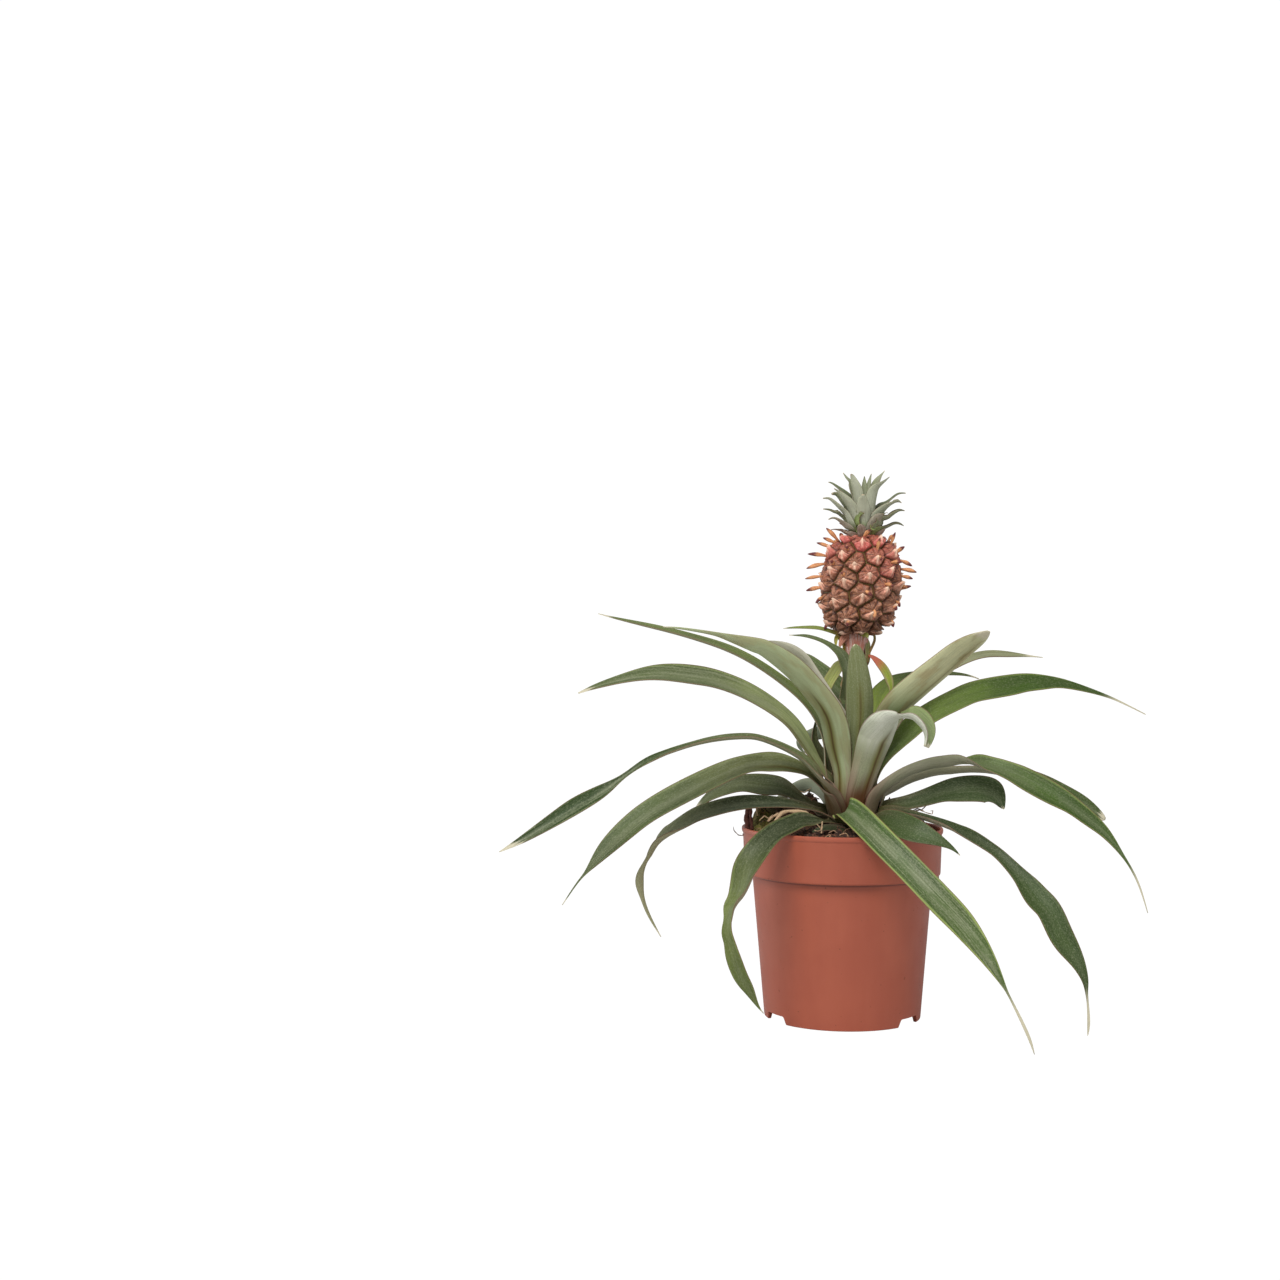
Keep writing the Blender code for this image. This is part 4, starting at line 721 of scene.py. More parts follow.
@dataclass(frozen=True)
class BladeShaper:
    """Works out fine blades along the leaves' lines.

    A blade starts tail below its root and clear of the stem. It turns to its facings from the share
    hold of its length on, over the share settle. Where it is seen from its edge, within edge_range
    degrees, it curls edge_curl degrees further. No half of it is broader than widest.
    """

    stem: StemShape = StemShape()
    clear: float = 0.9
    tail: float = 5.0
    hold: float = 0.03
    settle: float = 0.17
    stations: int = 121
    lanes: int = 17
    thick: float = 1.1
    widest: float = 16.5
    samples: int = 600
    chord_power: float = 0.6
    edge_range: float = 40.0
    edge_curl: float = 18.0
    thinnest: float = 0.35

    def smooth_line(self, stations: Array) -> Array:
        """Reads a natural cubic spline through the stations at equal steps along its length.

        The knots lie as far apart as the chords' lengths to the power of chord_power, and the
        bends solve the usual three-banded system.

        Args:
            stations: rows of (x, y, z, breadth).

        Returns:
            As many rows as the blade has.
        """
        chords = np.linalg.norm(np.diff(stations[:, :3], axis=0), axis=1) ** self.chord_power
        knots = np.concatenate([[0.0], np.cumsum(chords)])
        size = len(stations)
        slopes = np.diff(stations, axis=0) / chords[:, None]
        system = np.eye(size)
        inner = np.arange(1, size - 1)
        system[inner, inner - 1] = chords[:-1]
        system[inner, inner] = 2 * (chords[:-1] + chords[1:])
        system[inner, inner + 1] = chords[1:]
        right = np.zeros(stations.shape)
        right[1:-1] = 6 * np.diff(slopes, axis=0)
        bends = np.linalg.solve(system, right)
        places = np.linspace(0.0, knots[-1], self.samples)
        span = np.clip(np.searchsorted(knots, places) - 1, 0, size - 2)
        step = chords[span]
        before = ((knots[span + 1] - places) / step)[:, None]
        after = 1.0 - before
        bent = (before ** 3 - before) * bends[span] + (after ** 3 - after) * bends[span + 1]
        curve = before * stations[span] + after * stations[span + 1] + bent * step[:, None] ** 2 / 6
        return even_steps(curve, self.stations)

    def leaf_line(self, leaf: Leaf) -> Array:
        """Runs the leaf's middle line from its tail on the stem to its tip.

        Args:
            leaf: the leaf.

        Returns:
            The rows (x, y, z, breadth).
        """
        angle = math.radians(leaf.bearing)
        outward = np.array([math.cos(angle), math.sin(angle), 0.0])
        heights = leaf.root + np.array([-self.tail, 0.0])
        reach = self.stem.radius(heights) + np.array([0.2, self.clear])
        middles = np.stack([self.stem.axis(heights), np.zeros(2), heights], axis=-1)
        hugging = np.column_stack([middles + reach[:, None] * outward, np.full(2, leaf.foot)])
        return self.smooth_line(np.concatenate([hugging, seen_points(leaf.line)]))

    def frames(self, leaf: Leaf, points: Array, shares: Array) -> tuple:
        """Works out how the blade is turned at each row.

        A side direction, level or tilted at the stem, is carried along the line without twisting it.
        Away from the stem the upper normal becomes cos(facing) * towards the viewer + sin(facing) *
        rise, and rise is the direction across the leaf, square to the viewer's sight, that points up
        or outwards.

        Args:
            leaf: the leaf.
            points: the rows' middles.
            shares: the rows' shares of the length.

        Returns:
            The rows' side directions, upper normals and the ways in which their sides are seen.
        """
        tangents = unit(np.gradient(points, axis=0))
        angle, tilt = math.radians(leaf.bearing), math.radians(leaf.tilt)
        side = np.array([-math.sin(angle) * math.cos(tilt), math.cos(angle) * math.cos(tilt), math.sin(tilt)])
        sides = []
        for tangent in tangents:
            side = unit(side - tangent * side.dot(tangent))
            sides.append(side)
        sides = np.array(sides)
        uppers = np.cross(tangents, sides)
        sight = unit(points - np.array([VIEW_X, -VIEW_DISTANCE, VIEW_HEIGHT]))
        rises = unit(np.cross(tangents, sight)) * (1.0 if leaf.line[-1][0] > leaf.line[0][0] else -1.0)
        if leaf.facings:
            facing = np.radians(np.interp(shares, *zip(*leaf.facings)))[:, None]
            towards = unit(tangents * (sight * tangents).sum(axis=1)[:, None] - sight)
            share = soft((shares - self.hold) / self.settle)[:, None]
            turned = towards * np.cos(facing) + rises * np.sin(facing)
            uppers = unit(uppers * (1 - share) + turned * share)
            sides = np.cross(uppers, tangents)
        return sides, uppers, unit(sides - sight * (sides * sight).sum(axis=1)[:, None])

    def edgewise(self, leaf: Leaf, shares: Array) -> Array:
        """Returns how nearly each row is seen from its edge, from 0 to 1."""
        facing = np.interp(shares, *zip(*leaf.facings)) if leaf.facings else 0.0 * shares
        return np.clip(1.0 - np.abs(facing - 90.0) / self.edge_range, 0.0, 1.0)

    def evened(self, values: Array) -> Array:
        """Evens out the rows.

        Args:
            values: one row for each row of the blade.

        Returns:
            Each row's mean with its neighbours, a twentieth of all rows to either side.
        """
        reach = self.stations // 20
        padded = np.concatenate([values[:1]] * reach + [values] + [values[-1:]] * reach)
        return sum(padded[start:start + len(values)] for start in range(2 * reach + 1)) / (2 * reach + 1)

    def hues(self, inner: Colour, outer: Colour | None, shares: Array) -> list:
        """Returns a colour's three parts at each row, which change softly to the outer colour's."""
        beyond = soft((shares - 0.36) / 0.3)[:, None]
        return [first + (last - first) * beyond for first, last in zip(tint(*inner), tint(*(outer or inner)))]

    def blade(self, leaf: Leaf, seed: float) -> tuple[Array, dict]:
        """Shapes one blade.

        Each ring runs once over the upper face and back under the lower one. The middle surface is
        an arc across the leaf that opens upwards, with the stem's own radius at the root and the
        leaf's curl further out, and the faces lie half of thick * sqrt(1 - lane^6) from it. The
        arc's radius is the seen breadth over the extent that an arc of radius 1 shows to the viewer,
        and the arc is moved so that the middle of what shows lies on the leaf's line.

        Args:
            leaf: the leaf.
            seed: the seed of its ripple and its pattern.

        Returns:
            Its rings and its marks.
        """
        line = self.leaf_line(leaf)
        points, breadths = line[:, :3], np.maximum(line[:, 3], self.thinnest)
        shares = np.linspace(0.0, 1.0, self.stations)
        sides, uppers, seen = self.frames(leaf, points, shares)
        edgewise = self.edgewise(leaf, shares)
        clasp = leaf.foot / 2 / (self.stem.radius(leaf.root) + self.clear)
        curls = np.radians(leaf.curl + self.edge_curl * edgewise)
        curls = clasp + (curls - clasp) * np.clip(shares / 0.2, 0, 1)
        over = np.sin(np.linspace(-1.0, 1.0, self.lanes) * math.pi / 2)
        loose = soft(shares / (0.7 * self.settle))
        if leaf.facings:
            arc = over[None, :] * curls[:, None]
            shown = (seen * sides).sum(axis=1)[:, None] * np.sin(arc)
            shown = shown + (seen * uppers).sum(axis=1)[:, None] * (1 - np.cos(arc))
            extent = np.maximum(shown.max(axis=1) - shown.min(axis=1), 0.15)
            halves = np.minimum(breadths / extent * curls, self.widest)
            halves += (self.evened(halves) - halves) * edgewise ** 0.5
            halves = leaf.foot / 2 * (1 - loose) + halves * loose
            drift = seen * ((shown.max(axis=1) + shown.min(axis=1)) / 2 * halves / curls * loose)[:, None]
            drift += (self.evened(drift) - drift) * edgewise[:, None] ** 0.5
        else:
            halves = breadths / 2
            drift = uppers * (0.5 * halves / curls * (1 - np.cos(curls)) * loose)[:, None]
        points = points - drift
        radii = (halves / curls)[:, None]
        lanes = np.concatenate([over, over[-2:0:-1]])[None, :]
        facing = np.concatenate([np.ones(self.lanes), -np.ones(self.lanes - 2)])[None, :]
        facing[0, [0, self.lanes - 1]] = 0.0
        angles = lanes * curls[:, None]
        tall, number = leaf.wave
        waves = tall * np.sin(2 * math.pi * number * shares) * np.sin(math.pi * shares)
        ripple = 0.3 * np.sin(9.0 * shares + seed)[:, None] * np.abs(lanes) ** 3
        lift = radii * (1 - np.cos(angles)) + waves[:, None] * lanes ** 3 + ripple * loose[:, None]
        grid = spread(points, sides, uppers, radii * np.sin(angles), lift)
        normals = spread(0.0 * points, sides, uppers, -np.sin(angles), np.cos(angles))
        slim = np.minimum(1.0, halves / 3.0)[:, None]
        thick = self.thick * slim * np.sqrt(np.maximum(1 - lanes ** 6, 0.0)) / 2
        rings = grid + normals * (facing * thick)[..., None]
        length = np.linalg.norm(np.diff(points, axis=0), axis=1).sum()
        look, along = leaf.look, shares[:, None]
        marks = {
            "place": (along * length, lanes, radii * angles),
            "face": (0.5 + 0.5 * facing, along, seed),
            "streak": (look.at, look.start, look.stop),
            "tone": (look.scurf, look.dry, look.streak),
            "hem": (look.hem, look.base, look.stain),
            "top": self.hues(look.top, look.outer, shares),
            "under": self.hues(look.under, look.outer_under, shares),
        }
        return rings, {name: closed_tube(np.stack(np.broadcast_arrays(*parts, angles)[:3], axis=-1))
                       for name, parts in marks.items()}


@dataclass
class LeafRosette:
    """A set of blades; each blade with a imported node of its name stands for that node."""

    leaves: tuple
    shaper: BladeShaper
    slot: str
    packed: bool = True

    def build(self, material: bpy.types.Material) -> None:
        """Lays one fine blade for each leaf.

        Args:
            material: the leaves' finish.
        """
        for number, leaf in enumerate(self.leaves):
            rings, marks = self.shaper.blade(leaf, 1.7 * number)
            faces = tube_faces(*rings.shape[:2])
            piece = lay_piece(f"{leaf.name}_blade", closed_tube(rings), faces, material, marks)
            if self.packed:
                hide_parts(leaf.name)


# Fruit

@dataclass(frozen=True)
class FruitFinish:
    """Brown domes, paler pink bracts with pale pink tips and keels that are partly painted highlight, pinker towards
    the top, olive grooves, and painted shade in the folds, along the bracts' edges, where the skin lies low and
    towards the bottom.
    """

    dome: Colour = tint(92, 46, 26)
    dome_light: Colour = tint(172, 116, 84)
    bract: Colour = tint(172, 104, 78)
    bract_light: Colour = tint(232, 168, 140)
    # pale pink of the bracts' tips and keels, partly their own colour and partly painted highlight
    keel: Colour = tint(246, 210, 182)
    rosy: Colour = tint(204, 92, 88)
    # dark brown of the specks, also used for the painted shade in folds, along bract edges and where the skin lies low
    line: Colour = tint(50, 22, 14)
    groove: Colour = tint(104, 84, 28)
    low: Colour = tint(108, 68, 48)
    # colour of the painted shade towards the fruit's bottom
    foot: Colour = tint(62, 40, 24)

    def paint(self) -> bpy.types.Material:
        """Lays out the material.

        Returns:
            The material, which reads the marks eye, kind and form.
        """
        paint = Paint("fruit_skin_eyes")
        across, _, edge = paint.mark("eye")
        bract, chance, tall = paint.mark("kind")
        form, turn, distance = paint.mark("form")
        where = paint.place()
        blotch = paint.noise(where, 190.0, 3.0)
        fibre = paint.noise(paint.vector(turn * 4.5, distance * 0.35, chance * 40.0), 1.0, 3.0, 0.65)
        grain = paint.noise(where, 1300.0, 3.0, 0.65)
        pink = paint.rise(tall + (chance - 0.5) * 0.25 + (blotch - 0.5) * 0.3, 0.45, 0.95)
        skin = paint.blend(paint.rise(fibre, 0.35, 0.65), self.dome, self.dome_light)
        skin = paint.veil(skin, self.bract, blotch, 0.45, 0.7, 0.5)
        skin = paint.blend(pink * 0.35, skin, self.rosy)
        scale = paint.blend(paint.rise(fibre + (blotch - 0.5) * 0.4, 0.35, 0.65), self.bract, self.bract_light)
        scale = paint.veil(scale, self.low, distance + (blotch - 0.5) * 3.0, 3.5, 6.5, 0.7)
        scale = paint.blend(pink * 0.75, scale, self.rosy)
        side = paint.math("ABSOLUTE", across)
        # painted shade: dark lines in the valleys of each eye's radial folds
        painted_fold_shade = paint.math("ABSOLUTE", paint.math("SINE", turn * 3.5 + chance * 9.0 + (blotch - 0.5) * 2.0))
        painted_fold_shade = (1.0 - paint.rise(painted_fold_shade, 0.05, 0.5)) * paint.rise(distance, 0.8, 2.0)
        skin = paint.blend(painted_fold_shade * 0.6, skin, self.line)
        scale = paint.blend(painted_fold_shade * 0.4, scale, self.line)
        # pale bract tips and keel ridges: partly their own paler colour, partly painted highlight on the raised parts
        tip = 1.0 - paint.rise(distance + (fibre - 0.5) * 2.5, 0.6, 3.2)
        keel = (1.0 - paint.rise(side + (fibre - 0.5) * 1.2, 0.1, 1.1)) * (1.0 - paint.rise(distance, 3.0, 6.0))
        scale = paint.blend(tip * 0.8, scale, self.keel)
        scale = paint.blend(keel * 0.6, scale, self.keel)
        skin = paint.blend(paint.rise(bract, 0.3, 0.6), skin, scale)
        # painted shadow: a dark line along the step at each raised bract's edge
        painted_edge_shadow = paint.rise(bract, 0.02, 0.2) * (1.0 - paint.rise(bract, 0.3, 0.6))
        skin = paint.blend(painted_edge_shadow * 0.7, skin, self.line)
        skin = paint.veil(skin, self.keel, grain, 0.5, 0.75, 0.18)
        skin = paint.veil(skin, self.line, 1.0 - grain, 0.55, 0.75, 0.1)
        # painted shade: darker where the skin lies low between and around the eyes
        skin = paint.blend((1.0 - paint.rise(form + (blotch - 0.5) * 0.8, -1.0, 0.9)) * 0.6, skin, self.line)
        skin = paint.blend(1.0 - paint.rise(edge + (blotch - 0.5) * 0.6, 0.1, 0.5), skin, self.groove)
        # painted shade: darker towards the fruit's bottom
        skin = paint.blend((1.0 - paint.rise(tall, 0.0, 0.22)) * 0.5, skin, self.foot)
        return paint.finish(
            Base_Color=skin,
            Roughness=0.42 + grain * 0.2,
            Normal=paint.bump(fibre * 0.7 + grain * 0.2, 0.6, 0.0005),
        )


@dataclass(frozen=True)
class FlowerFinish:
    """Dried flowers: orange-tan cheeks with brown ribs and a maroon tip."""

    neck: Colour = tint(150, 92, 66)
    cheek: Colour = tint(224, 158, 106)
    rib: Colour = tint(150, 82, 50)
    tip: Colour = tint(104, 40, 40)

    def paint(self) -> bpy.types.Material:
        """Lays out the material.

        Returns:
            The material, which reads the mark place (share along, turn, chance).
        """
        paint = Paint("dried_flower")
        share, turn, chance = paint.mark("place")
        ribs = paint.noise(paint.vector(turn * 3.0, share * 1.2, chance * 30.0), 1.0, 2.0)
        skin = paint.blend(paint.rise(share, 0.05, 0.35), self.neck, self.cheek)
        skin = paint.veil(skin, self.rib, ribs, 0.45, 0.7, 0.8)
        end = share + (chance - 0.5) * 0.3 + (ribs - 0.5) * 0.3
        skin = paint.blend(paint.rise(end, 0.62, 0.86), skin, self.tip)
        return paint.finish(Base_Color=skin, Roughness=0.62, Normal=paint.bump(ribs, 0.6, 0.0004))


@dataclass
class Fruit:
    """The crowned fruit's body: spiralling eyes, each with a keeled bract, and dried flowers.

    face holds the eyes' places across and up, and dried the flowers' feet and tips and how far each
    tip lies in front of its foot, all as seen from the viewing point. dome, keel and bract say how
    far these stand out, dome_reach and bract_reach how far they spread, groove how deep the seams
    lie and plump how far an eye stands out of them.
    """

    x: float = 9.6
    lean: float = 0.058
    low_z: float = 231.0
    high_z: float = 290.0
    radius: float = 22.9
    fullness: float = 2.65
    rounding: float = 0.45
    face: tuple = (
        (3.6, 289.0), (12.4, 286.2), (21.4, 287.8), (-5.6, 283.2), (2.1, 280.4), (20.4, 277.6), (29.3, 281.0),
        (8.3, 274.2), (-4.9, 271.6), (28.4, 270.6), (16.4, 267.6), (2.6, 264.6), (-10.2, 262.0), (25.6, 258.8),
        (12.4, 254.6), (-3.2, 252.0), (-11.0, 249.6), (33.6, 262.6), (30.0, 248.8), (17.6, 244.8), (3.6, 240.6),
        (-7.4, 239.8), (27.0, 238.6), (12.0, 234.0), (0.8, 233.4), (21.4, 233.8),
    )
    seat: float = 7.0
    turns: int = 420
    rows: int = 190
    dried: tuple = (
        (1.8, 291.4, -1.6, 297.8, 3), (-5, 286.3, -10, 294.4, 3), (-6, 285, -11.8, 288.4, 2),
        (-7.5, 282, -15.3, 286.2, 1), (-11, 277.4, -20.8, 279.3, 0), (-12.2, 273.3, -21.6, 270.6, 1),
        (-13.4, 265.6, -22.4, 263.8, 1), (-13.4, 259, -21.8, 256.9, 1), (-12, 254, -15.8, 249, 3),
        (-9.6, 238, -11.2, 234, 2), (29.4, 283.5, 33.1, 292.1, 2), (28, 286.6, 31.8, 291, 1),
        (32.6, 279, 38.2, 283.4, 1), (35, 275.6, 42.7, 271.8, 2), (35.6, 269.9, 45.4, 268.2, 0),
        (34.4, 265.8, 43, 263.8, 2), (34.8, 261.6, 38.4, 257.8, 3), (35.6, 257, 42, 259.8, 0),
        (31.6, 251, 35.4, 247.2, 2), (28.6, 240.4, 31, 234.6, 2), (28.6, 273.4, 36.6, 274.6, 5),
        (25, 260.6, 31.4, 260.3, 6), (12.3, 257.4, 17.9, 253.7, 4), (12.9, 288.8, 17, 294.2, 4),
        (18.9, 247, 20.4, 239.8, 3), (21.3, 280.2, 23, 289, 3), (16.2, 264.4, 17.3, 268.6, 4),
        (-1.6, 287.6, -0.8, 292.2, 4), (3.4, 280.2, 3, 284.2, 4), (-4.6, 271.4, -6.6, 275, 4),
        (1.8, 264.4, -0.4, 267.6, 4), (4, 240.4, 3.2, 235.6, 3), (20.6, 277.4, 24.4, 276, 4),
        (29.6, 248.6, 33.4, 245, 3),
    )
    end_tilt: float = 0.9
    back_lift: float = 6.0
    twin_top: float = 286.0
    groove: float = 1.5
    plump: float = 2.0
    dome: float = 1.9
    dome_reach: float = 6.0
    bract: float = 3.4
    bract_reach: float = 6.8
    keel: float = 0.9
    petals: tuple = ((0.0, 0.9), (0.14, 0.7), (0.28, 0.8), (0.42, 1.05), (0.56, 1.25), (0.7, 1.15),
                     (0.83, 0.85), (0.94, 0.5), (1.0, 0.12))

    def barrel(self, height: Array) -> Array:
        """Works out the barrel: R (1 - share^n)^(1/n) of the share of half the height.

        Args:
            height: heights over the barrel's lower end.

        Returns:
            The radii there.
        """
        middle = (self.high_z - self.low_z) / 2
        share = np.minimum(np.abs(height - middle) / (middle + self.rounding), 1.0)
        return self.radius * (1 - share ** self.fullness) ** (1 / self.fullness)

    def at_depth(self, seen: Array, towards: Array) -> Array:
        """Finds what is seen across and up at these depths.

        Args:
            seen: rows of (across, up).
            towards: how far in front of the plant's axis each lies.

        Returns:
            The places, from the barrel's own leaning axis and its lower end.
        """
        places = seen_points(np.column_stack([seen, towards]))
        places[:, 2] -= self.low_z
        places[:, 0] -= self.x + self.lean * places[:, 2]
        return places

    def on_skin(self, seen: Array) -> Array:
        """Finds the places on the barrel's front by coming nearer to them three times.

        Args:
            seen: rows of (across, up).

        Returns:
            The places, from the barrel's own axis; those beyond its side lie just within it.
        """
        places = self.at_depth(seen, np.full(len(seen), 16.0))
        for _ in range(3):
            reach = self.barrel(places[:, 2])
            side = np.clip(places[:, 0], -0.97 * reach, 0.97 * reach)
            places = self.at_depth(seen, np.sqrt(reach ** 2 - side ** 2))
        places[:, 0] = side
        return places

    def centres(self) -> Array:
        """Places the eyes: the face as it is seen, and the same turned to the back.

        The back's eyes are raised by back_lift times the sine of half a turn of their share of the
        height, so that the two sets interlock at the sides.

        Returns:
            The eyes' middles.
        """
        front = self.on_skin(np.array(self.face))
        back = front * np.array([-1.0, -1.0, 1.0])
        back[:, 2] += self.back_lift * np.sin(math.pi * back[:, 2] / (self.high_z - self.low_z))
        return np.concatenate([front, back])

    def outward(self, places: Array) -> Array:
        """Finds the way out of the skin: level at the waist and tilted towards each end.

        Args:
            places: places from the barrel's own axis.

        Returns:
            A direction for each.
        """
        slope = (places[..., 2] * 2 / (self.high_z - self.low_z) - 1)[..., None]
        flat = unit(places * np.array([1.0, 1.0, 0.0]))
        return unit(flat + self.end_tilt * slope ** 3 * UP)

    def skin(self) -> tuple[Array, dict]:
        """Shapes the skin.

        Each point belongs to its nearest eye. Its depth in the cell is the distance to the nearest
        halving plane, (dj^2 - di^2) / (2 |ci - cj|). The skin rises from the groove with that depth,
        carries a dome, and below the middle a bract with a keel that lifts to its tip in the middle.

        Returns:
            Its rings and its marks.
        """
        tall = self.high_z - self.low_z
        steps = np.linspace(0.0, tall, 600)
        line = np.concatenate([[[0.01, 0.0]], np.stack([self.barrel(steps), steps], axis=-1), [[0.01, tall]]])
        reach, height = even_steps(line, self.rows).T[..., None]
        turn = full_turn(self.turns)
        base = level_rings(reach, turn, height)
        flat = base.reshape(-1, 3)
        centres = self.centres()
        apart = np.linalg.norm(centres[:, None] - centres[None], axis=-1) + np.eye(len(centres))
        squares = ((flat[:, None] - centres[None]) ** 2).sum(axis=-1)
        own = squares.argmin(axis=1)
        nearest = squares.min(axis=1)
        depths = (squares - nearest[:, None]) / (2 * apart[own])
        depths[np.arange(len(flat)), own] = 99.0
        edge = depths.min(axis=1)
        out = self.outward(centres)[own]
        side = unit(np.cross(UP, out))
        offset = flat - centres[own]
        across = (offset * side).sum(axis=-1)
        up = (offset * np.cross(out, side)).sum(axis=-1)
        chance = np.random.default_rng(5).uniform(size=len(centres))[own]
        wobble = ripples(flat, 4.0, 3)
        inside = soft(edge / 1.3)
        apex = 0.3 + 0.8 * (chance - 0.5)
        down = apex - up
        roof = down - 0.5 * np.abs(across + 0.3 * wobble) + 0.5 * np.clip(1 - np.abs(across) / 1.6, 0, 1)
        bract = soft(roof / 0.6) * soft(edge / 0.8)
        distance = np.hypot(across, down)
        dome = self.dome * np.clip(1 - distance / self.dome_reach, 0, 1)
        keel = self.keel * np.clip(1 - np.abs(across) / (0.3 * np.maximum(down, 0.4) + 0.5), 0, 1)
        lift = 0.5 + self.bract * np.clip(1 - distance / self.bract_reach, 0, 1) ** 1.3
        lift += keel * soft(edge / 1.6)
        around = np.arctan2(across, down)
        folds = (np.abs(np.sin(3.5 * around + 9.0 * chance)) - 0.6) * np.clip(distance / 3.0, 0, 1)
        rise = -self.groove + self.plump * inside + inside * dome * (1 - bract) + bract * lift
        rise += folds * soft(edge / 1.8)
        rise += (0.3 * wobble + 0.14 * ripples(flat, 1.6, 4)) * inside
        form = rise.copy()
        rise *= soft((reach + 0 * turn).ravel() / (self.seat + 2.5))
        moved = flat + self.outward(flat) * rise[:, None]
        moved[:, 0] += self.x + self.lean * moved[:, 2]
        moved[:, 2] = np.minimum(moved[:, 2], tall + 0.1) + self.low_z
        marks = {
            "eye": (across, up, edge),
            "kind": (bract, chance, flat[:, 2] / tall),
            "form": (form, around, distance),
        }
        return moved.reshape(base.shape), {name: closed_tube(np.stack(parts, axis=-1).reshape(base.shape))
                                           for name, parts in marks.items()}

    def flowers(self) -> tuple[Array, list, dict]:
        """Shapes the dried flowers: bent spindles with eight sides each.

        Each flower of the face below twin_top has a twin behind, turned round the axis so that
        bearing b, where -90 degrees is the front, becomes 45 - b / 2 degrees.

        Returns:
            Their points, faces and marks.
        """
        chance = np.random.default_rng(11)
        seen = np.array(self.dried)
        foot = self.on_skin(seen[:, :2])
        step = self.at_depth(seen[:, 2:4], seen[:, 4] - foot[:, 1]) - foot
        low = seen[:, 1] < self.twin_top
        spin = math.pi / 4 - 1.5 * np.arctan2(foot[low, 1], foot[low, 0])
        cosine, sine, level = np.cos(spin), np.sin(spin), np.zeros(len(spin))
        turned = np.array([[cosine, -sine, level], [sine, cosine, level], [level, level, level + 1.0]])
        centres = np.concatenate([foot, np.einsum("ijn,nj->ni", turned, foot[low])])
        step = np.concatenate([step, np.einsum("ijn,nj->ni", turned, step[low])])
        length = np.linalg.norm(step, axis=-1)
        way = step / length[:, None]
        side = unit(np.cross(way, UP))
        over = np.cross(side, way)
        shares, radii = np.array(self.petals).T
        turn = full_turn(8)
        bend = chance.normal(scale=0.5, size=(len(centres), 1)) * shares ** 2 + 0.5 * np.sin(shares * math.pi)
        middles = centres[:, None] + way[:, None] * (length[:, None] * shares)[..., None]
        middles = middles + over[:, None] * bend[..., None]
        ridge = 1 + 0.16 * np.cos(3 * turn)[None, None] * np.sin(shares * math.pi)[None, :, None]
        size = radii[None, :, None] * ridge * chance.uniform(0.9, 1.15, (len(centres), 1, 1))
        rings = spread(middles, side[:, None], over[:, None], size * np.cos(turn), size * np.sin(turn))
        rings[..., 0] += self.x + self.lean * rings[..., 2]
        rings[..., 2] += self.low_z
        points, faces = bundle(rings)
        along = np.tile(np.append(np.repeat(shares, 8), [0.0, 1.0]), len(rings))
        around = np.tile(np.append(np.tile(turn, len(shares)), [0.0, 0.0]), len(rings))
        luck = np.repeat(chance.uniform(size=len(rings)), len(points) // len(rings))
        return points, faces, {"place": np.stack([along, around, luck], axis=-1)}

    def build(self) -> None:
        """Lays the skin and the flowers."""
        rings, marks = self.skin()
        faces = tube_faces(*rings.shape[:2])
        body = lay_piece("fruit_body", closed_tube(rings), faces, FruitFinish().paint(), marks)
        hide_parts("fruit")
        points, faces, marks = self.flowers()
        flowers = lay_piece("fruit_flowers", points, faces, FlowerFinish().paint(), marks)


# Crown

GREY = LeafLook((156, 162, 128), (182, 184, 162), 0.5, 0.0, 0.03, base=0.55)
DARK = LeafLook((100, 110, 76), (118, 122, 92), 0.3, 0.0, 0.03, base=0.7)
MAUVE = LeafLook((126, 124, 98), (154, 144, 128), 0.4, 0.0, 0.02, base=0.6)
BROWN = LeafLook((120, 96, 80), (126, 104, 92), 0.2, 0.0, 0.02, base=0.0)

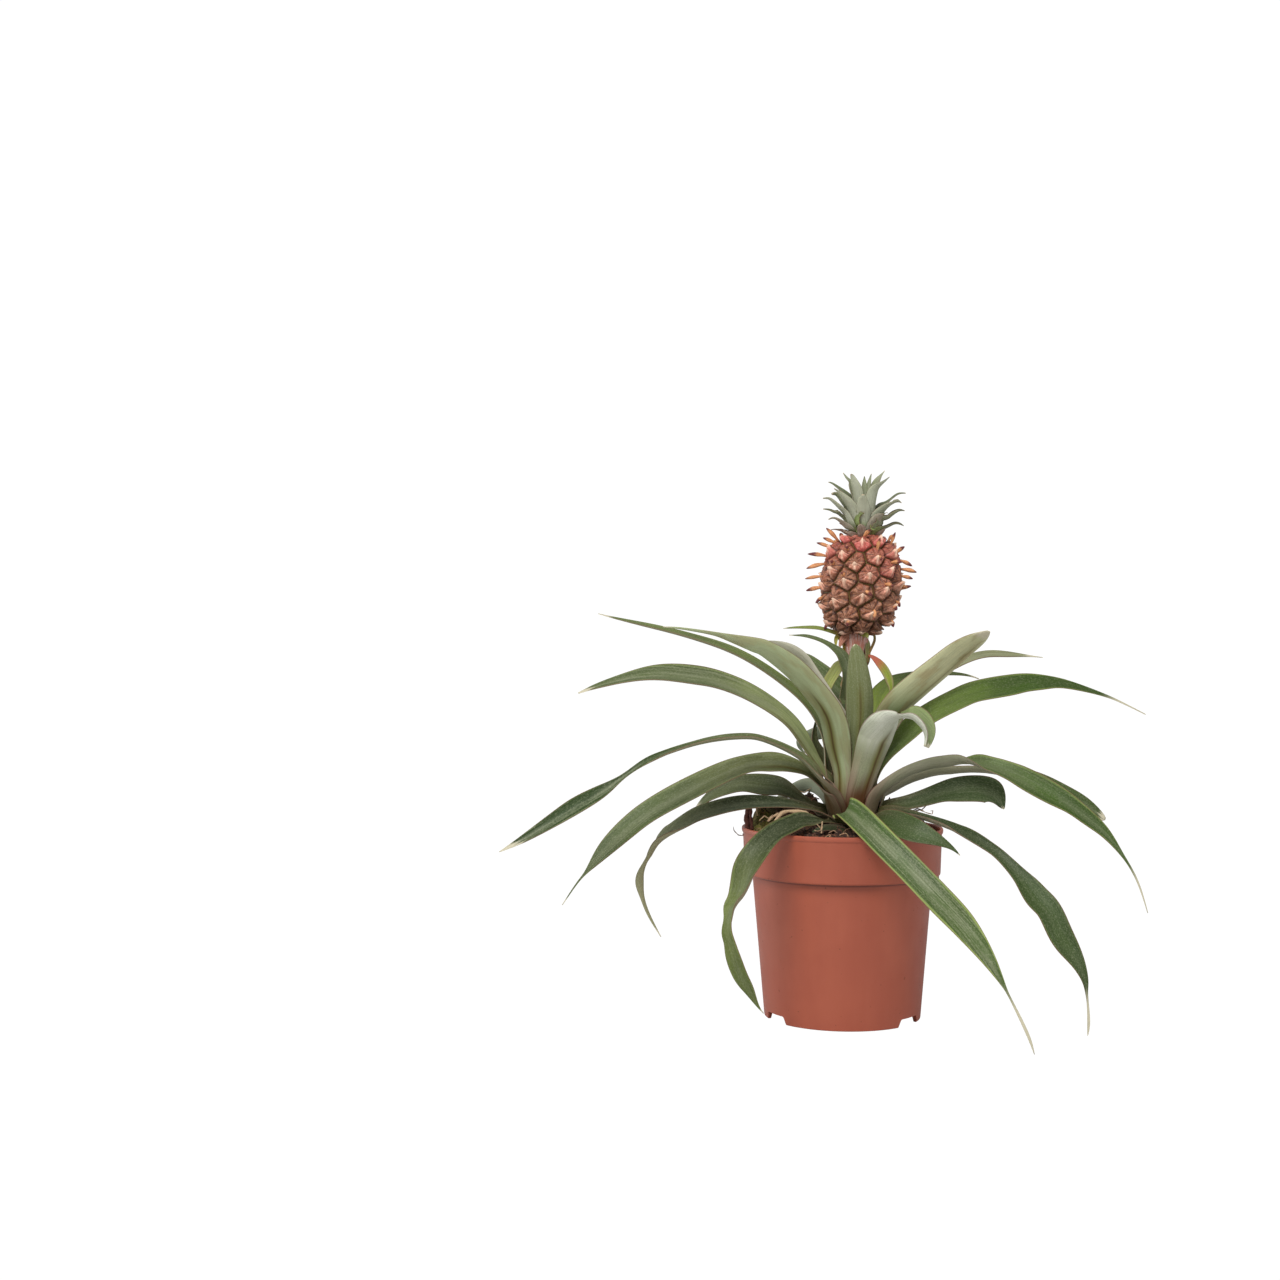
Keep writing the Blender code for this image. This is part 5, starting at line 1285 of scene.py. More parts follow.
CROWN_LEAVES = (
    Leaf("back", 90, 292, 30, (), GREY,
         ((14, 300, -8, 7), (14, 306, -15, 6), (14, 309, -22, 3), (14, 309, -26, 0.4)), foot=6),
    Leaf("back_right", 48, 292, 30, (), GREY,
         ((19, 298, -6, 7), (23, 302, -12, 5), (26, 304, -17, 2.5), (28, 304, -21, 0.4)), foot=6),
    Leaf("back_left", 132, 292, 30, (), GREY,
         ((9, 298, -6, 7), (5, 302, -12, 5), (2, 304, -17, 2.5), (0, 304, -21, 0.4)), foot=6),
    Leaf("high_back", 80, 300, 30, (), GREY,
         ((14.5, 308, -4, 6), (15, 315, -8, 5), (15.5, 320, -11, 2.5), (16, 322, -13, 0.4)), foot=4),
    Leaf("heart", 90, 303, 30, ((0, 10), (1, 10)), GREY,
         ((14, 309, 0, 4), (14, 316, 0, 3.8), (13.7, 320, 0, 3.4), (13.6, 323.1, 0, 2.2), (13.6, 324.8, 0, 1.2),
          (13.6, 326.3, 0, 0.4)), foot=3),
    Leaf("heart_right", 60, 302, 30, ((0, 30), (1, 30)), GREY,
         ((14.8, 309, 0, 3.8), (16.2, 320.4, 0, 2.8), (17.4, 325.8, 0, 1.1), (17.9, 327.8, 0, 0.4)), foot=3),
    Leaf("high_right", 15, 300, 34, ((0, 60), (1, 60)), GREY,
         ((17, 311, 0, 5), (19.4, 319.6, 1, 4.2), (21, 323.1, 1.5, 3.4), (24.1, 327.6, 2, 1.1),
          (25.8, 329.7, 2, 0.4)), foot=4),
    Leaf("high_left", 165, 299, 34, ((0, 60), (1, 60)), GREY,
         ((9, 311, -1, 4.4), (6.2, 319.5, 0, 3.2), (5.2, 322.8, 0, 2.4), (3.5, 325.1, 1, 1.6), (2, 327, 1, 1),
          (0.8, 328.5, 1, 0.4)), foot=4),
    Leaf("arching_left", 180, 296, 30, ((0, 100), (1, 60)), DARK,
         ((8, 308, 1, 4), (4.5, 314, 1.5, 2.8), (1.2, 317.4, 2, 2.3), (-4.9, 321.6, 2, 1.2), (-6.7, 322.4, 2, 0.8),
          (-8.2, 322.6, 2, 0.4)), foot=5),
    Leaf("arching_right", 5, 294, 30, ((0, 90), (1, 60)), DARK,
         ((18, 300, 0, 5), (21, 306, 0.5, 4.4), (23.7, 308.8, 1, 3.6), (26.4, 310.4, 1, 2), (32.8, 315, 1, 1.2),
          (35.5, 315.9, 1, 0.8), (38.7, 315.9, 1, 0.4)), foot=6),
    Leaf("dark_left", 172, 293, 30, ((0, 110), (1, 90)), DARK,
         ((7, 301, 2, 4), (3.2, 307.9, 3, 3), (0.5, 311.3, 3, 2.4), (-1.9, 314, 3, 1.6), (-3.9, 315.1, 3, 0.9),
          (-6.1, 315.2, 3, 0.4)), foot=6),
    Leaf("front_tall_left", -115, 295, 32, ((0, 168), (1, 155)), GREY,
         ((11, 304, 4.5, 6), (9.9, 313.3, 6, 6.4), (9.4, 317.4, 7, 6.5), (7.2, 324.4, 9, 3.6), (6.2, 326.8, 9.5, 2.2),
          (5.7, 327.7, 10, 1)), foot=7),
    Leaf("front_tall_right", -50, 294, 34, ((0, 165), (0.6, 150), (1, 125)), GREY,
         ((17, 303, 5.5, 6.6), (18.4, 316, 8.5, 6.4), (20.2, 319.5, 10, 4.6), (23.4, 322, 12, 2.4),
          (26.1, 323.9, 13, 1.3), (28.8, 326, 14, 0.4)), foot=8),
    Leaf("low_left", 175, 290.5, 30, ((0, 110), (1, 80)), DARK,
         ((6, 295, 1, 4), (3.2, 298.9, 1, 2.2), (-2.9, 303.7, 2, 1.4), (-6.2, 305.6, 2, 1.2), (-8.9, 306.2, 2, 0.8),
          (-11.4, 306.3, 2, 0.4)), foot=6),
    Leaf("pale_left", -172, 291.5, 30, ((0, 140), (1, 100)), GREY,
         ((6.5, 295.5, 4.5, 4.4), (3.5, 302.6, 6, 3.5), (0.5, 306.3, 7, 3), (-5.9, 311.6, 8.5, 1.6),
          (-8.4, 312.8, 9, 1), (-11.4, 312.8, 9, 0.4)), foot=7),
    Leaf("low_right", -10, 289.5, 30, ((0, 100), (1, 80)), DARK,
         ((19.8, 292, 4, 5), (23.1, 297.2, 5, 3.2), (25.8, 300.2, 6, 2.5), (32.2, 304.4, 7, 1.4), (35.2, 305.6, 7, 1),
          (38, 305.4, 7, 0.4)), foot=6),
    Leaf("broad_left", -150, 292.5, 34, ((0, 165), (1, 140)), GREY,
         ((10, 297.5, 6, 6.6), (7.2, 305.9, 8, 6.8), (1.9, 313.3, 11, 4), (-3, 317.9, 12.5, 1.2),
          (-4.7, 318.9, 13, 0.5)), foot=8),
    Leaf("broad_right", -24, 291.5, 34, ((0, 150), (0.7, 110), (1, 80)), GREY,
         ((17.4, 296, 6, 5.6), (21, 302.9, 7.5, 5.2), (29.8, 310.1, 11, 1.8), (34.5, 311, 11.5, 0.9),
          (36, 310.3, 11.5, 0.4)), foot=8),
    Leaf("front_middle", -90, 291, 36, ((0, 178), (1, 176)), GREY,
         ((13.3, 296.5, 8.5, 8.4), (13.1, 301.2, 10, 8.8), (13, 306.3, 13, 8.2), (12.7, 310.6, 15.5, 6.6),
          (12.8, 313.3, 17.5, 4.4), (12.8, 315.2, 19, 1.2)), foot=9),
    Leaf("drooping_left", -165, 289, 30, ((0, 150), (1, 120)), MAUVE,
         ((5.6, 293.8, 7, 4.2), (2.9, 296.5, 8, 3.6), (-0.2, 298.9, 9, 2.4), (-2.9, 300.4, 9.5, 1.5),
          (-5.6, 300.9, 10, 1), (-8.1, 300, 10, 0.4)), foot=6),
    Leaf("drooping_right", -3, 289, 30, ((0, 90), (1, 80)), DARK,
         ((20.4, 290.8, 2, 3.6), (23.7, 293.8, 2.5, 2.3), (30.5, 297.3, 3, 1.2), (33.5, 297.7, 3, 1),
          (35.7, 297.2, 3, 0.8), (37.5, 296.3, 3, 0.4)), foot=5),
    Leaf("front_right", -50, 289, 32, ((0, 168), (1, 150)), MAUVE,
         ((18, 293.8, 9, 7.4), (19.4, 297.2, 11.5, 7.4), (21, 300.5, 14, 5.6), (23.1, 302.6, 16, 3.4),
          (24.9, 303.6, 17.5, 1)), foot=9),
    Leaf("thin_left", 178, 288.5, 30, ((0, 90), (1, 80)), BROWN,
         ((4, 291, 3, 2.5), (1.2, 292.8, 3, 1.4), (-1.5, 293.7, 3, 1), (-4.9, 294.2, 3, 0.7),
          (-7.6, 293.4, 3, 0.4)), foot=3),
    Leaf("foot_front", -95, 287.5, 36, ((0, 178), (1, 178)), BROWN,
         ((12.3, 290.8, 9.8, 5.8), (12, 293.5, 11, 5.8), (11.4, 295.5, 12, 4.4), (10.8, 297, 12.5, 1.5)), foot=6),
    Leaf("foot_left", -130, 287.5, 34, ((0, 170), (1, 160)), BROWN,
         ((7.2, 290.2, 8, 4.6), (4.5, 291.6, 9, 3), (2.5, 292.4, 9.5, 0.8)), foot=5),
    Leaf("foot_right", -30, 287.5, 34, ((0, 170), (1, 160)), BROWN,
         ((20.7, 290.3, 7, 4.4), (23.4, 292.1, 8, 3), (26.1, 294.4, 8.5, 0.8)), foot=5),
)


@dataclass
class Crown:
    """The rosette of leaves on top of the fruit."""

    shape: StemShape = StemShape(
        x=13.8, low_z=288.0, cone_top_z=309.0, low_radius=7.4, high_radius=1.8, lean=0.0, top_z=311.0,
    )
    low_z: float = 289.0
    high_z: float = 309.0
    sides: int = 24

    def build(self) -> None:
        """Lays the core and all the leaves as one piece."""
        shaper = BladeShaper(stem=self.shape, clear=0.3, tail=1.0, settle=0.1, stations=31, lanes=9, thick=0.8)
        heights = np.linspace(self.low_z, self.high_z, 5)[:, None]
        core = level_rings(self.shape.radius(heights), full_turn(self.sides), heights, self.shape.x)
        green = tint(126, 138, 92)
        plain = {"face": (1.0, 0.5, 0.0), "streak": (0.0, 0.0, 0.1), "top": green, "under": green}
        points, faces = [closed_tube(core)], tube_faces(len(heights), self.sides)
        blades = [shaper.blade(leaf, 1.3 * number) for number, leaf in enumerate(CROWN_LEAVES)]
        marks = {name: [np.tile(plain.get(name, (0.0, 0.0, 0.0)), (len(points[0]), 1))]
                 for name in blades[0][1]}
        for rings, blade_marks in blades:
            first = sum(len(part) for part in points)
            faces += tube_faces(*rings.shape[:2], first)
            points.append(closed_tube(rings))
            for name, values in blade_marks.items():
                marks[name].append(values)
        finish = LeafFinish(name="crown_leaf_skin", scurf=tint(184, 184, 162), base=tint(120, 138, 66),
                            base_scurf=tint(160, 164, 124), base_reach=11.0, dry=tint(196, 178, 148))
        joined = {name: np.concatenate(values) for name, values in marks.items()}
        crown = lay_piece("crown_leaves", np.concatenate(points), faces, finish.paint(), joined)
        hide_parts("crown")


# Stem

@dataclass(frozen=True)
class StalkFinish:
    """Pinkish-brown stalk skin under patchy white scurf."""

    skin: Colour = tint(186, 118, 100)
    olive: Colour = tint(120, 78, 50)
    scurf: Colour = tint(214, 196, 186)

    def paint(self) -> bpy.types.Material:
        """Lays out the material.

        Returns:
            The material, which reads object coordinates.
        """
        paint = Paint("stalk_skin_scurf")
        where = paint.place()
        x, y, z = paint.parts(where)
        streaks = paint.noise(paint.vector(x * 900.0, y * 900.0, z * 60.0), 1.0, 3.0, 0.6)
        grain = paint.noise(where, 2200.0, 2.0)
        skin = paint.blend(paint.rise(z, 0.15, 0.2), self.olive, self.skin)
        skin = paint.veil(skin, self.scurf, streaks + grain * 0.3, 0.58, 0.85, 0.8)
        return paint.finish(Base_Color=skin, Roughness=0.65, Normal=paint.bump(streaks + grain, 0.5, 0.0004))


@dataclass
class Stem:
    """The stem and the fruit's stalk as one finely ribbed body."""

    shape: StemShape = StemShape()
    foot_z: float = 106.35
    top_z: float = 233.5
    flare: float = 2.6
    flare_z: float = 210.0
    sides: int = 64
    rows: int = 110

    def build(self) -> None:
        """Lays the stem: the cone's radius, a flare under the fruit and shallow ribs."""
        heights = np.linspace(self.foot_z, self.top_z, self.rows)[:, None]
        turn = full_turn(self.sides)
        flare = self.flare * soft((heights - self.flare_z) / (self.top_z - self.flare_z)) ** 1.2
        ribs = 0.12 * np.sin(11 * turn + heights * 0.05) + 0.08 * np.sin(17 * turn - heights * 0.11)
        radii = self.shape.radius(heights) - 0.15 + flare + ribs
        rings = level_rings(radii, turn, heights, self.shape.axis(heights))
        faces = tube_faces(self.rows, self.sides)
        stem = lay_piece("stem_stalk", closed_tube(rings), faces, StalkFinish().paint())
        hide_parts("stem")


# Pot

@dataclass(frozen=True)
class PotFinish:
    """Satin terracotta-brown plastic with faint flow marks, specks of soil dust and a painted shadow line under the
    step.
    """

    body: Colour = tint(168, 86, 62)
    deep: Colour = tint(158, 77, 55)
    dust: Colour = tint(112, 66, 50)
    # colour and heights of the painted shadow line just under the collar's step
    painted_step_shadow: Colour = tint(88, 42, 32)
    painted_step_shadow_z: tuple = (0.0842, 0.0852, 0.0858, 0.0864)

    def paint(self) -> bpy.types.Material:
        """Lays out the material.

        Returns:
            The material, which reads object coordinates.
        """
        paint = Paint("pot_plastic_satin")
        where = paint.place()
        x, y, z = paint.parts(where)
        flow = paint.noise(paint.vector(x * 60.0, y * 60.0, z * 12.0), 1.0, 3.0)
        cloud = paint.noise(where, 38.0, 2.0)
        grain = paint.noise(where, 3200.0, 2.0)
        speck = paint.noise(where, 420.0, 1.0)
        skin = paint.blend(paint.rise(flow * 0.6 + cloud * 0.4, 0.35, 0.65) * 0.7, self.body, self.deep)
        skin = paint.veil(skin, self.dust, speck, 0.74, 0.8, 0.7)
        # painted shadow: a thin dark band just under the collar's step
        painted_step_shadow = paint.rise(z, *self.painted_step_shadow_z[:2]) * (1.0 - paint.rise(z, *self.painted_step_shadow_z[2:]))
        skin = paint.blend(painted_step_shadow * 0.7, skin, self.painted_step_shadow)
        rough = 0.4 + paint.rise(cloud, 0.3, 0.7) * 0.08 + paint.rise(speck, 0.7, 0.8) * 0.2
        relief = paint.bump(grain * 0.5 + flow, 0.25, 0.0002)
        return paint.finish(Base_Color=skin, Roughness=rough, Normal=relief)


@dataclass
class Pot:
    """The stepped nursery pot with its rolled lip, notched foot ring and drain holes."""

    height: float = 114.0
    step: float = 86.0
    collar_top: float = 59.8
    collar_low: float = 59.0
    body_top: float = 54.0
    body_low: float = 47.0
    wall: float = 1.4
    foot: float = 5.0
    floor: float = 1.6
    sides: int = 192
    notch_bearings: tuple = (-39.5, -153.5, 84.0)
    notch: tuple = ((-10.6, -1.0), (10.6, -1.0), (10.2, 0.6), (8.6, 4.2), (7.8, 4.7), (-7.8, 4.7), (-8.6, 4.2),
                    (-10.2, 0.6))
    drains: int = 4
    drain_reach: float = 27.0
    drain_radius: float = 4.0

    def profile(self) -> Array:
        """Draws the pot's section from its inner floor over the lip to its foot.

        Returns:
            Rows of (radius, height).
        """
        floor_top = self.foot + self.floor
        lip = np.array([(-1.05, -3.2), (-1.0, -0.9), (-0.7, -0.3), (-0.15, 0.0), (0.35, -0.12), (0.72, -0.5),
                        (0.8, -1.1), (0.72, -2.2), (0.5, -2.9), (0.15, -3.25), (0.0, -3.7)])
        lip = lip + np.array([self.collar_top, self.height])
        step = np.array([(0.0, 1.6), (-0.15, 0.8), (-0.6, 0.3), (-1.4, 0.05)])
        step = step + np.array([self.collar_low, self.step])
        under = np.array([(0.9, -0.25), (0.35, -0.7), (0.08, -1.6), (0.0, -3.0)])
        under = under + np.array([self.body_top, self.step])
        rows = np.linspace(0.0, 1.0, 8)[1:-1, None]
        body_foot = np.array([(0.04, 1.0), (-0.1, 0.25), (-0.5, 0.0)]) + np.array([self.body_low, 0.0])
        side = under[-1] + (body_foot[0] - under[-1]) * rows
        inside = np.array([
            (self.body_low - self.wall, floor_top),
            (self.body_top - self.wall, self.step - self.wall),
            (self.collar_low - self.wall, self.step + self.wall),
        ])
        ring = np.array([(-1.9, 0.0), (-2.25, 0.3), (-2.65, self.foot)]) + np.array([self.body_low, 0.0])
        return np.concatenate([inside, lip, step, under, side, body_foot, ring])

    def cutters(self) -> list:
        """Shapes the blocks and posts that open the foot's notches and the drain holes.

        Returns:
            The points and faces of each.
        """
        made = []
        for angle in np.radians(self.notch_bearings):
            forward = np.array([math.cos(angle), math.sin(angle), 0.0])
            middles = forward * np.array([[self.body_low - 8.0], [self.body_low + 4.0]])
            rings = spread(middles, np.cross(UP, forward)[None], UP[None], *np.array(self.notch).T[:, None])
            made.append((closed_tube(rings), tube_faces(2, len(self.notch))))
        for angle in full_turn(self.drains, 0.5):
            middle = self.drain_reach * np.array([math.cos(angle), math.sin(angle), 0.0])
            rings = level_rings(self.drain_radius, full_turn(24), np.array([[3.0], [9.0]])) + middle
            made.append((closed_tube(rings), tube_faces(2, 24)))
        return made

    def build(self) -> None:
        """Turns the section round the axis and opens the notches and drain holes in it."""
        section = self.profile()
        rings = level_rings(section[:, :1], full_turn(self.sides, 0.5), section[:, 1:])
        material = PotFinish().paint()
        pot = lay_piece("pot_body", closed_tube(rings), tube_faces(len(section), self.sides), material)
        shapes = enumerate(self.cutters())
        guides = [lay_piece(f"cutter_{number}", *shape, material) for number, shape in shapes]
        for guide in guides:
            cut = pot.modifiers.new(guide.name, "BOOLEAN")
            cut.operation = "DIFFERENCE"
            cut.solver = "EXACT"
            cut.object = guide
        made = bpy.data.meshes.new_from_object(pot.evaluated_get(bpy.context.evaluated_depsgraph_get()))
        pot.modifiers.clear()
        pot.data = made
        made.shade_smooth()
        made.set_sharp_from_angle(angle=math.radians(35))
        for guide in guides:
            bpy.data.objects.remove(guide, do_unlink=True)
        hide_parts("pot")


# Soil

@dataclass(frozen=True)
class SoilFinish:
    """Dark moist peat with brown crumbs and a little moss near the left rim.

    moss_x and moss_y are the middle of the moss, in metres like the places that the material reads.
    """

    dark: Colour = tint(52, 35, 27)
    brown: Colour = tint(128, 84, 60)
    pale: Colour = tint(176, 140, 104)
    moss: Colour = tint(120, 118, 44)
    moss_x: float = -0.044
    moss_y: float = -0.006

    def paint(self) -> bpy.types.Material:
        """Lays out the material.

        Returns:
            The material, which reads object coordinates.
        """
        paint = Paint("peat_crumbs")
        where = paint.place()
        crumbs = paint.noise(where, 480.0, 4.0, 0.65)
        clods = paint.noise(where, 120.0, 3.0)
        grit = paint.noise(where, 1500.0, 2.0)
        skin = paint.blend(paint.rise(crumbs, 0.45, 0.68), self.dark, self.brown)
        skin = paint.blend(paint.rise(grit, 0.66, 0.78) * paint.rise(clods, 0.45, 0.6), skin, self.pale)
        x, y, _ = paint.parts(where)
        near = ((x - self.moss_x) ** 2.0 + (y - self.moss_y) ** 2.0) ** 0.5
        reach = 1.0 - paint.rise(near + (clods - 0.5) * 0.03, 0.008, 0.026)
        moss = reach * paint.rise(grit + (clods - 0.5) * 0.6, 0.4, 0.56)
        skin = paint.blend(moss * 0.85, skin, self.moss)
        relief = paint.bump(crumbs + grit * 0.4, 0.9, 0.0015)
        return paint.finish(Base_Color=skin, Roughness=0.92, Normal=relief)


class Litter(Enum):
    """The kinds of loose bits on the soil."""

    BARK = "bark_chips"
    ROOT = "fine_roots"
    STRAND = "loose_strands"


# Each strand's tone, its thickness and its stations (across, up, towards) as seen from the viewing point
STRANDS = (
    (0.15, 1.7, (-57, 111.5, 8), (-57.8, 120.5, 8), (-56.8, 123.8, 8), (-58.4, 126.6, 8)),
    (0.1, 1.0, (-54.4, 112, 10), (-55.4, 121, 10), (-55, 124.6, 10), (-54.8, 126, 10)),
    (1.0, 0.45, (-51.2, 120.4, 10), (-51.7, 124.6, 10), (-52.3, 128.8, 10), (-53.6, 133, 10)),
    (1.0, 1.15, (-40.6, 116.4, 22), (-38.8, 119.6, 21), (-36.6, 122, 20), (-32.4, 123.2, 19), (-27, 123, 19),
     (-22, 122.8, 19), (-19.4, 121.4, 19)),
    (0.7, 0.8, (-45, 117, 22), (-42, 119.8, 21), (-38.6, 121.6, 20), (-35, 121.2, 20)),
    (0.8, 0.42, (-12.5, 109.6, 47), (-12.2, 113, 46), (-11.9, 117.4, 45)),
    (0.7, 0.28, (-12.3, 112.2, 46), (-13.8, 113.8, 46), (-15.4, 115.6, 46)),
    (0.6, 0.28, (-12.4, 112, 47), (-14.6, 111, 47), (-17, 111.6, 47)),
    (0.3, 0.28, (-60, 109.6, 8), (-59.8, 108.4, 8), (-62.7, 108.7, 6), (-65.4, 111.4, 4), (-65.9, 114.2, 4)),
    (0.9, 0.36, (-26.8, 135.8, -20), (-22.6, 134.4, -19), (-18.4, 137.6, -18)),
    (0.3, 0.7, (-25, 133, -16), (-21, 131.2, -15), (-17, 133.6, -14)),
    (0.4, 0.5, (-19.5, 128.6, -8), (-16.6, 131.4, -8), (-13.4, 130.6, -8)),
    (0.5, 0.36, (38, 121.6, 8), (44.4, 123.4, 10), (48.6, 124.2, 12), (51.6, 127, 14)),
    (0.6, 0.28, (47.6, 123.8, 12), (51.6, 122.2, 12), (54.8, 121.4, 12), (55.2, 123.6, 12), (53.2, 123.2, 12)),
    (0.4, 0.34, (35, 124.8, 4), (41, 123, 6), (46, 124.8, 8), (50, 123.4, 10)),
    (0.8, 0.3, (-50, 117.6, 20), (-47, 120.4, 18), (-44.4, 118.8, 18), (-41.6, 121.4, 16)),
    (0.5, 0.3, (-8, 110, 50), (-5, 111.6, 49), (-2.6, 109.8, 50)),
)


@dataclass(frozen=True)
class LitterFinish:
    """Weathered bark chips or wiry roots."""

    kind: Litter
    dark: Colour
    light: Colour

    def paint(self) -> bpy.types.Material:
        """Lays out the material.

        Returns:
            The material, which reads object coordinates and the mark place.
        """
        paint = Paint(f"{self.kind.value}_skin")
        where = paint.place()
        _, _, chance = paint.mark("place")
        grain = paint.noise(where, 900.0, 3.0, 0.6)
        skin = paint.blend(paint.rise(chance * 0.7 + grain * 0.6, 0.4, 1.0), self.dark, self.light)
        return paint.finish(Base_Color=skin, Roughness=0.85, Normal=paint.bump(grain, 0.8, 0.0008))


@dataclass
class Soil:
    """The soil that fills the pot, its bark chips and its stray roots.

    below holds the body's rings (radius, height) under its top, and lumps the heaps (bearing,
    distance, height, breadth). The swell fades at edge, and loose bits stay within near_wall.
    """

    sides: int = 200
    rows: int = 90
    level: float = 111.0
    swell: float = 2.6
    drop: float = 1.5
    hole: float = 16.5
    hole_floor: float = 106.0
    stem_x: float = 7.0
    rim: float = 57.7
    edge: float = 58.4
    near_wall: float = 57.0
    below: tuple = ((45.25, 6.95), (51.9, 84.6), (56.55, 87.75))
    lumps: tuple = (
        (25.0, 50.0, 7.5, 9.0), (38.0, 40.0, 5.5, 8.0), (8.0, 47.0, 4.0, 7.0), (146.0, 44.0, 11.0, 9.0),
        (160.0, 47.0, 9.0, 9.0), (173.0, 50.0, 13.0, 7.5), (188.0, 51.0, 5.0, 7.0), (125.0, 40.0, 7.0, 10.0),
        (80.0, 45.0, 4.0, 9.0), (108.0, 36.0, 3.0, 8.0), (205.0, 47.0, 3.5, 6.0), (144.0, 22.0, 20.0, 9.0),
        (12.0, 31.0, 16.0, 7.0),
    )

    def top(self, x: Array, y: Array) -> Array:
        """Works out the soil's level: a ring-shaped swell, slow unevenness and the lumps.

        Args:
            x: places to the right.
            y: places to the back.

        Returns:
            The heights there.
        """
        reach = np.hypot(x, y)
        share = np.clip((reach - self.hole) / (self.edge - self.hole), 0.0, 1.0)
        height = self.level + self.swell * np.sin(math.pi * share) - self.drop * share
        height += 0.45 * np.sin(0.31 * x + 0.4) * np.sin(0.27 * y + 1.1) + 0.35 * np.sin(0.83 * x - 0.51 * y)
        for bearing, distance, tall, spread in self.lumps:
            angle = math.radians(bearing)
            away = np.hypot(x - distance * math.cos(angle), y - distance * math.sin(angle))
            height += tall * np.exp(-((away / spread) ** 2)) * (1.0 - share ** 10)
        return height

    def ground(self) -> None:
        """Lays the soil's body with crumbs of 0.3 to 1.2 mm on its top."""
        turn = full_turn(self.sides)
        share = np.linspace(0.0, 1.0, self.rows)[:, None]
        reach = self.rim + (self.hole - self.rim) * share
        x = reach * np.cos(turn) + self.stem_x * share
        y = reach * np.sin(turn)
        flat = np.stack([x, y, 0 * x], axis=-1)
        crumbs = 0.7 * ripples(flat, 7.0, 21) + 0.8 * np.abs(ripples(flat, 3.2, 22))
        crumbs = (crumbs + 0.6 * np.abs(ripples(flat, 1.7, 23))) * soft(share * 12) * soft((1 - share) * 12)
        top = np.stack([x, y, self.top(x, y) + crumbs], axis=-1)
        radii, heights = np.array(self.below).T[..., None]
        hole = level_rings(self.hole, turn, self.hole_floor, self.stem_x)
        rings = np.concatenate([level_rings(radii, turn, heights), top, hole[None]])
        faces = tube_faces(len(rings), self.sides)
        soil = lay_piece("soil_body", closed_tube(rings), faces, SoilFinish().paint())
        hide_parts("soil")

    def chips(self, count: int = 260) -> None:
        """Scatters bark chips: short six-sided splinters, tilted a little and half sunk.

        Args:
            count: how many there are; the first is a chunk at the front left.
        """
        chance = np.random.default_rng(31)
        each = (count, 1, 1)
        angle = chance.uniform(0, 2 * math.pi, each)
        reach = np.sqrt(chance.uniform(0.13, 0.93, each)) * self.near_wall
        reach[0], angle[0] = 50.5, math.radians(-139.0)
        middle_x, middle_y = reach * np.cos(angle), reach * np.sin(angle)
        yaw = chance.uniform(0, 2 * math.pi, each)
        length = chance.gamma(3.0, 1.1, each).clip(1.2, 7.5)
        width = length * chance.uniform(0.25, 0.6, each)
        length[0], width[0], yaw[0] = 14.0, 5.0, math.radians(20.0)
        share, fat = np.array([(-0.5, 0.45), (-0.3, 0.9), (0.3, 1.0), (0.5, 0.4)]).T[..., None]
        turn = full_turn(6)
        rough = chance.uniform(0.75, 1.2, (count, 4, 6))
        along = length * share + 0 * rough
        side = width / 2 * fat * np.cos(turn) * rough
        up = width / 4 * fat * np.sin(turn) * rough + along * chance.normal(scale=0.25, size=each)
        x = middle_x + along * np.cos(yaw) - side * np.sin(yaw)
        y = middle_y + along * np.sin(yaw) + side * np.cos(yaw)
        over = np.maximum(np.hypot(x, y) / (self.near_wall + 0.4), 1.0)
        rings = np.stack([x / over, y / over, self.top(middle_x, middle_y) + up + 0.5], axis=-1)
        tones = chance.uniform(size=count)
        self.scatter(rings, Litter.BARK, tint(58, 36, 28), tint(150, 104, 78), tones)

    def roots(self, count: int = 34) -> None:
        """Lays wiry roots: thin tubes that wander over the soil and stand up here and there.

        Args:
            count: how many there are; the first few have named spots near the wall.
        """
        chance = np.random.default_rng(47)
        steps = 16
        angle = chance.uniform(0, 2 * math.pi, (count, 1))
        reach = chance.uniform(28.0, 56.0, (count, 1))
        spots = np.array([(-62.0, 55.5), (-140.0, 54.0), (-118.0, 55.0), (-150.0, 55.5), (-35.0, 55.0), (22.0, 52.0)])
        angle[:len(spots)], reach[:len(spots)] = np.radians(spots[:, :1]), spots[:, 1:]
        turns = np.cumsum(chance.normal(scale=0.45, size=(count, steps)), axis=1)
        turns = turns + chance.uniform(0, 6.3, (count, 1))
        size = chance.uniform(0.5, 1.1, (count, 1))
        x = reach * np.cos(angle) + np.cumsum(size * np.cos(turns), axis=1)
        y = reach * np.sin(angle) + np.cumsum(size * np.sin(turns), axis=1)
        over = np.maximum(np.hypot(x, y) / (self.near_wall - 0.2), 1.0)
        x, y = x / over, y / over
        z = self.top(x, y) + chance.uniform(0.5, 5.5, (count, 1)) * np.sin(np.linspace(0, math.pi, steps)) ** 0.8
        thin = chance.uniform(0.12, 0.28, (count, 1, 1))
        turn = full_turn(5)
        rings = np.stack([x[..., None] + thin * np.cos(turn), y[..., None] + thin * np.sin(turn) * 0.7,
                          z[..., None] + thin * np.sin(turn)], axis=-1)
        tones = chance.uniform(size=count)
        self.scatter(rings, Litter.ROOT, tint(92, 58, 42), tint(198, 158, 120), tones)

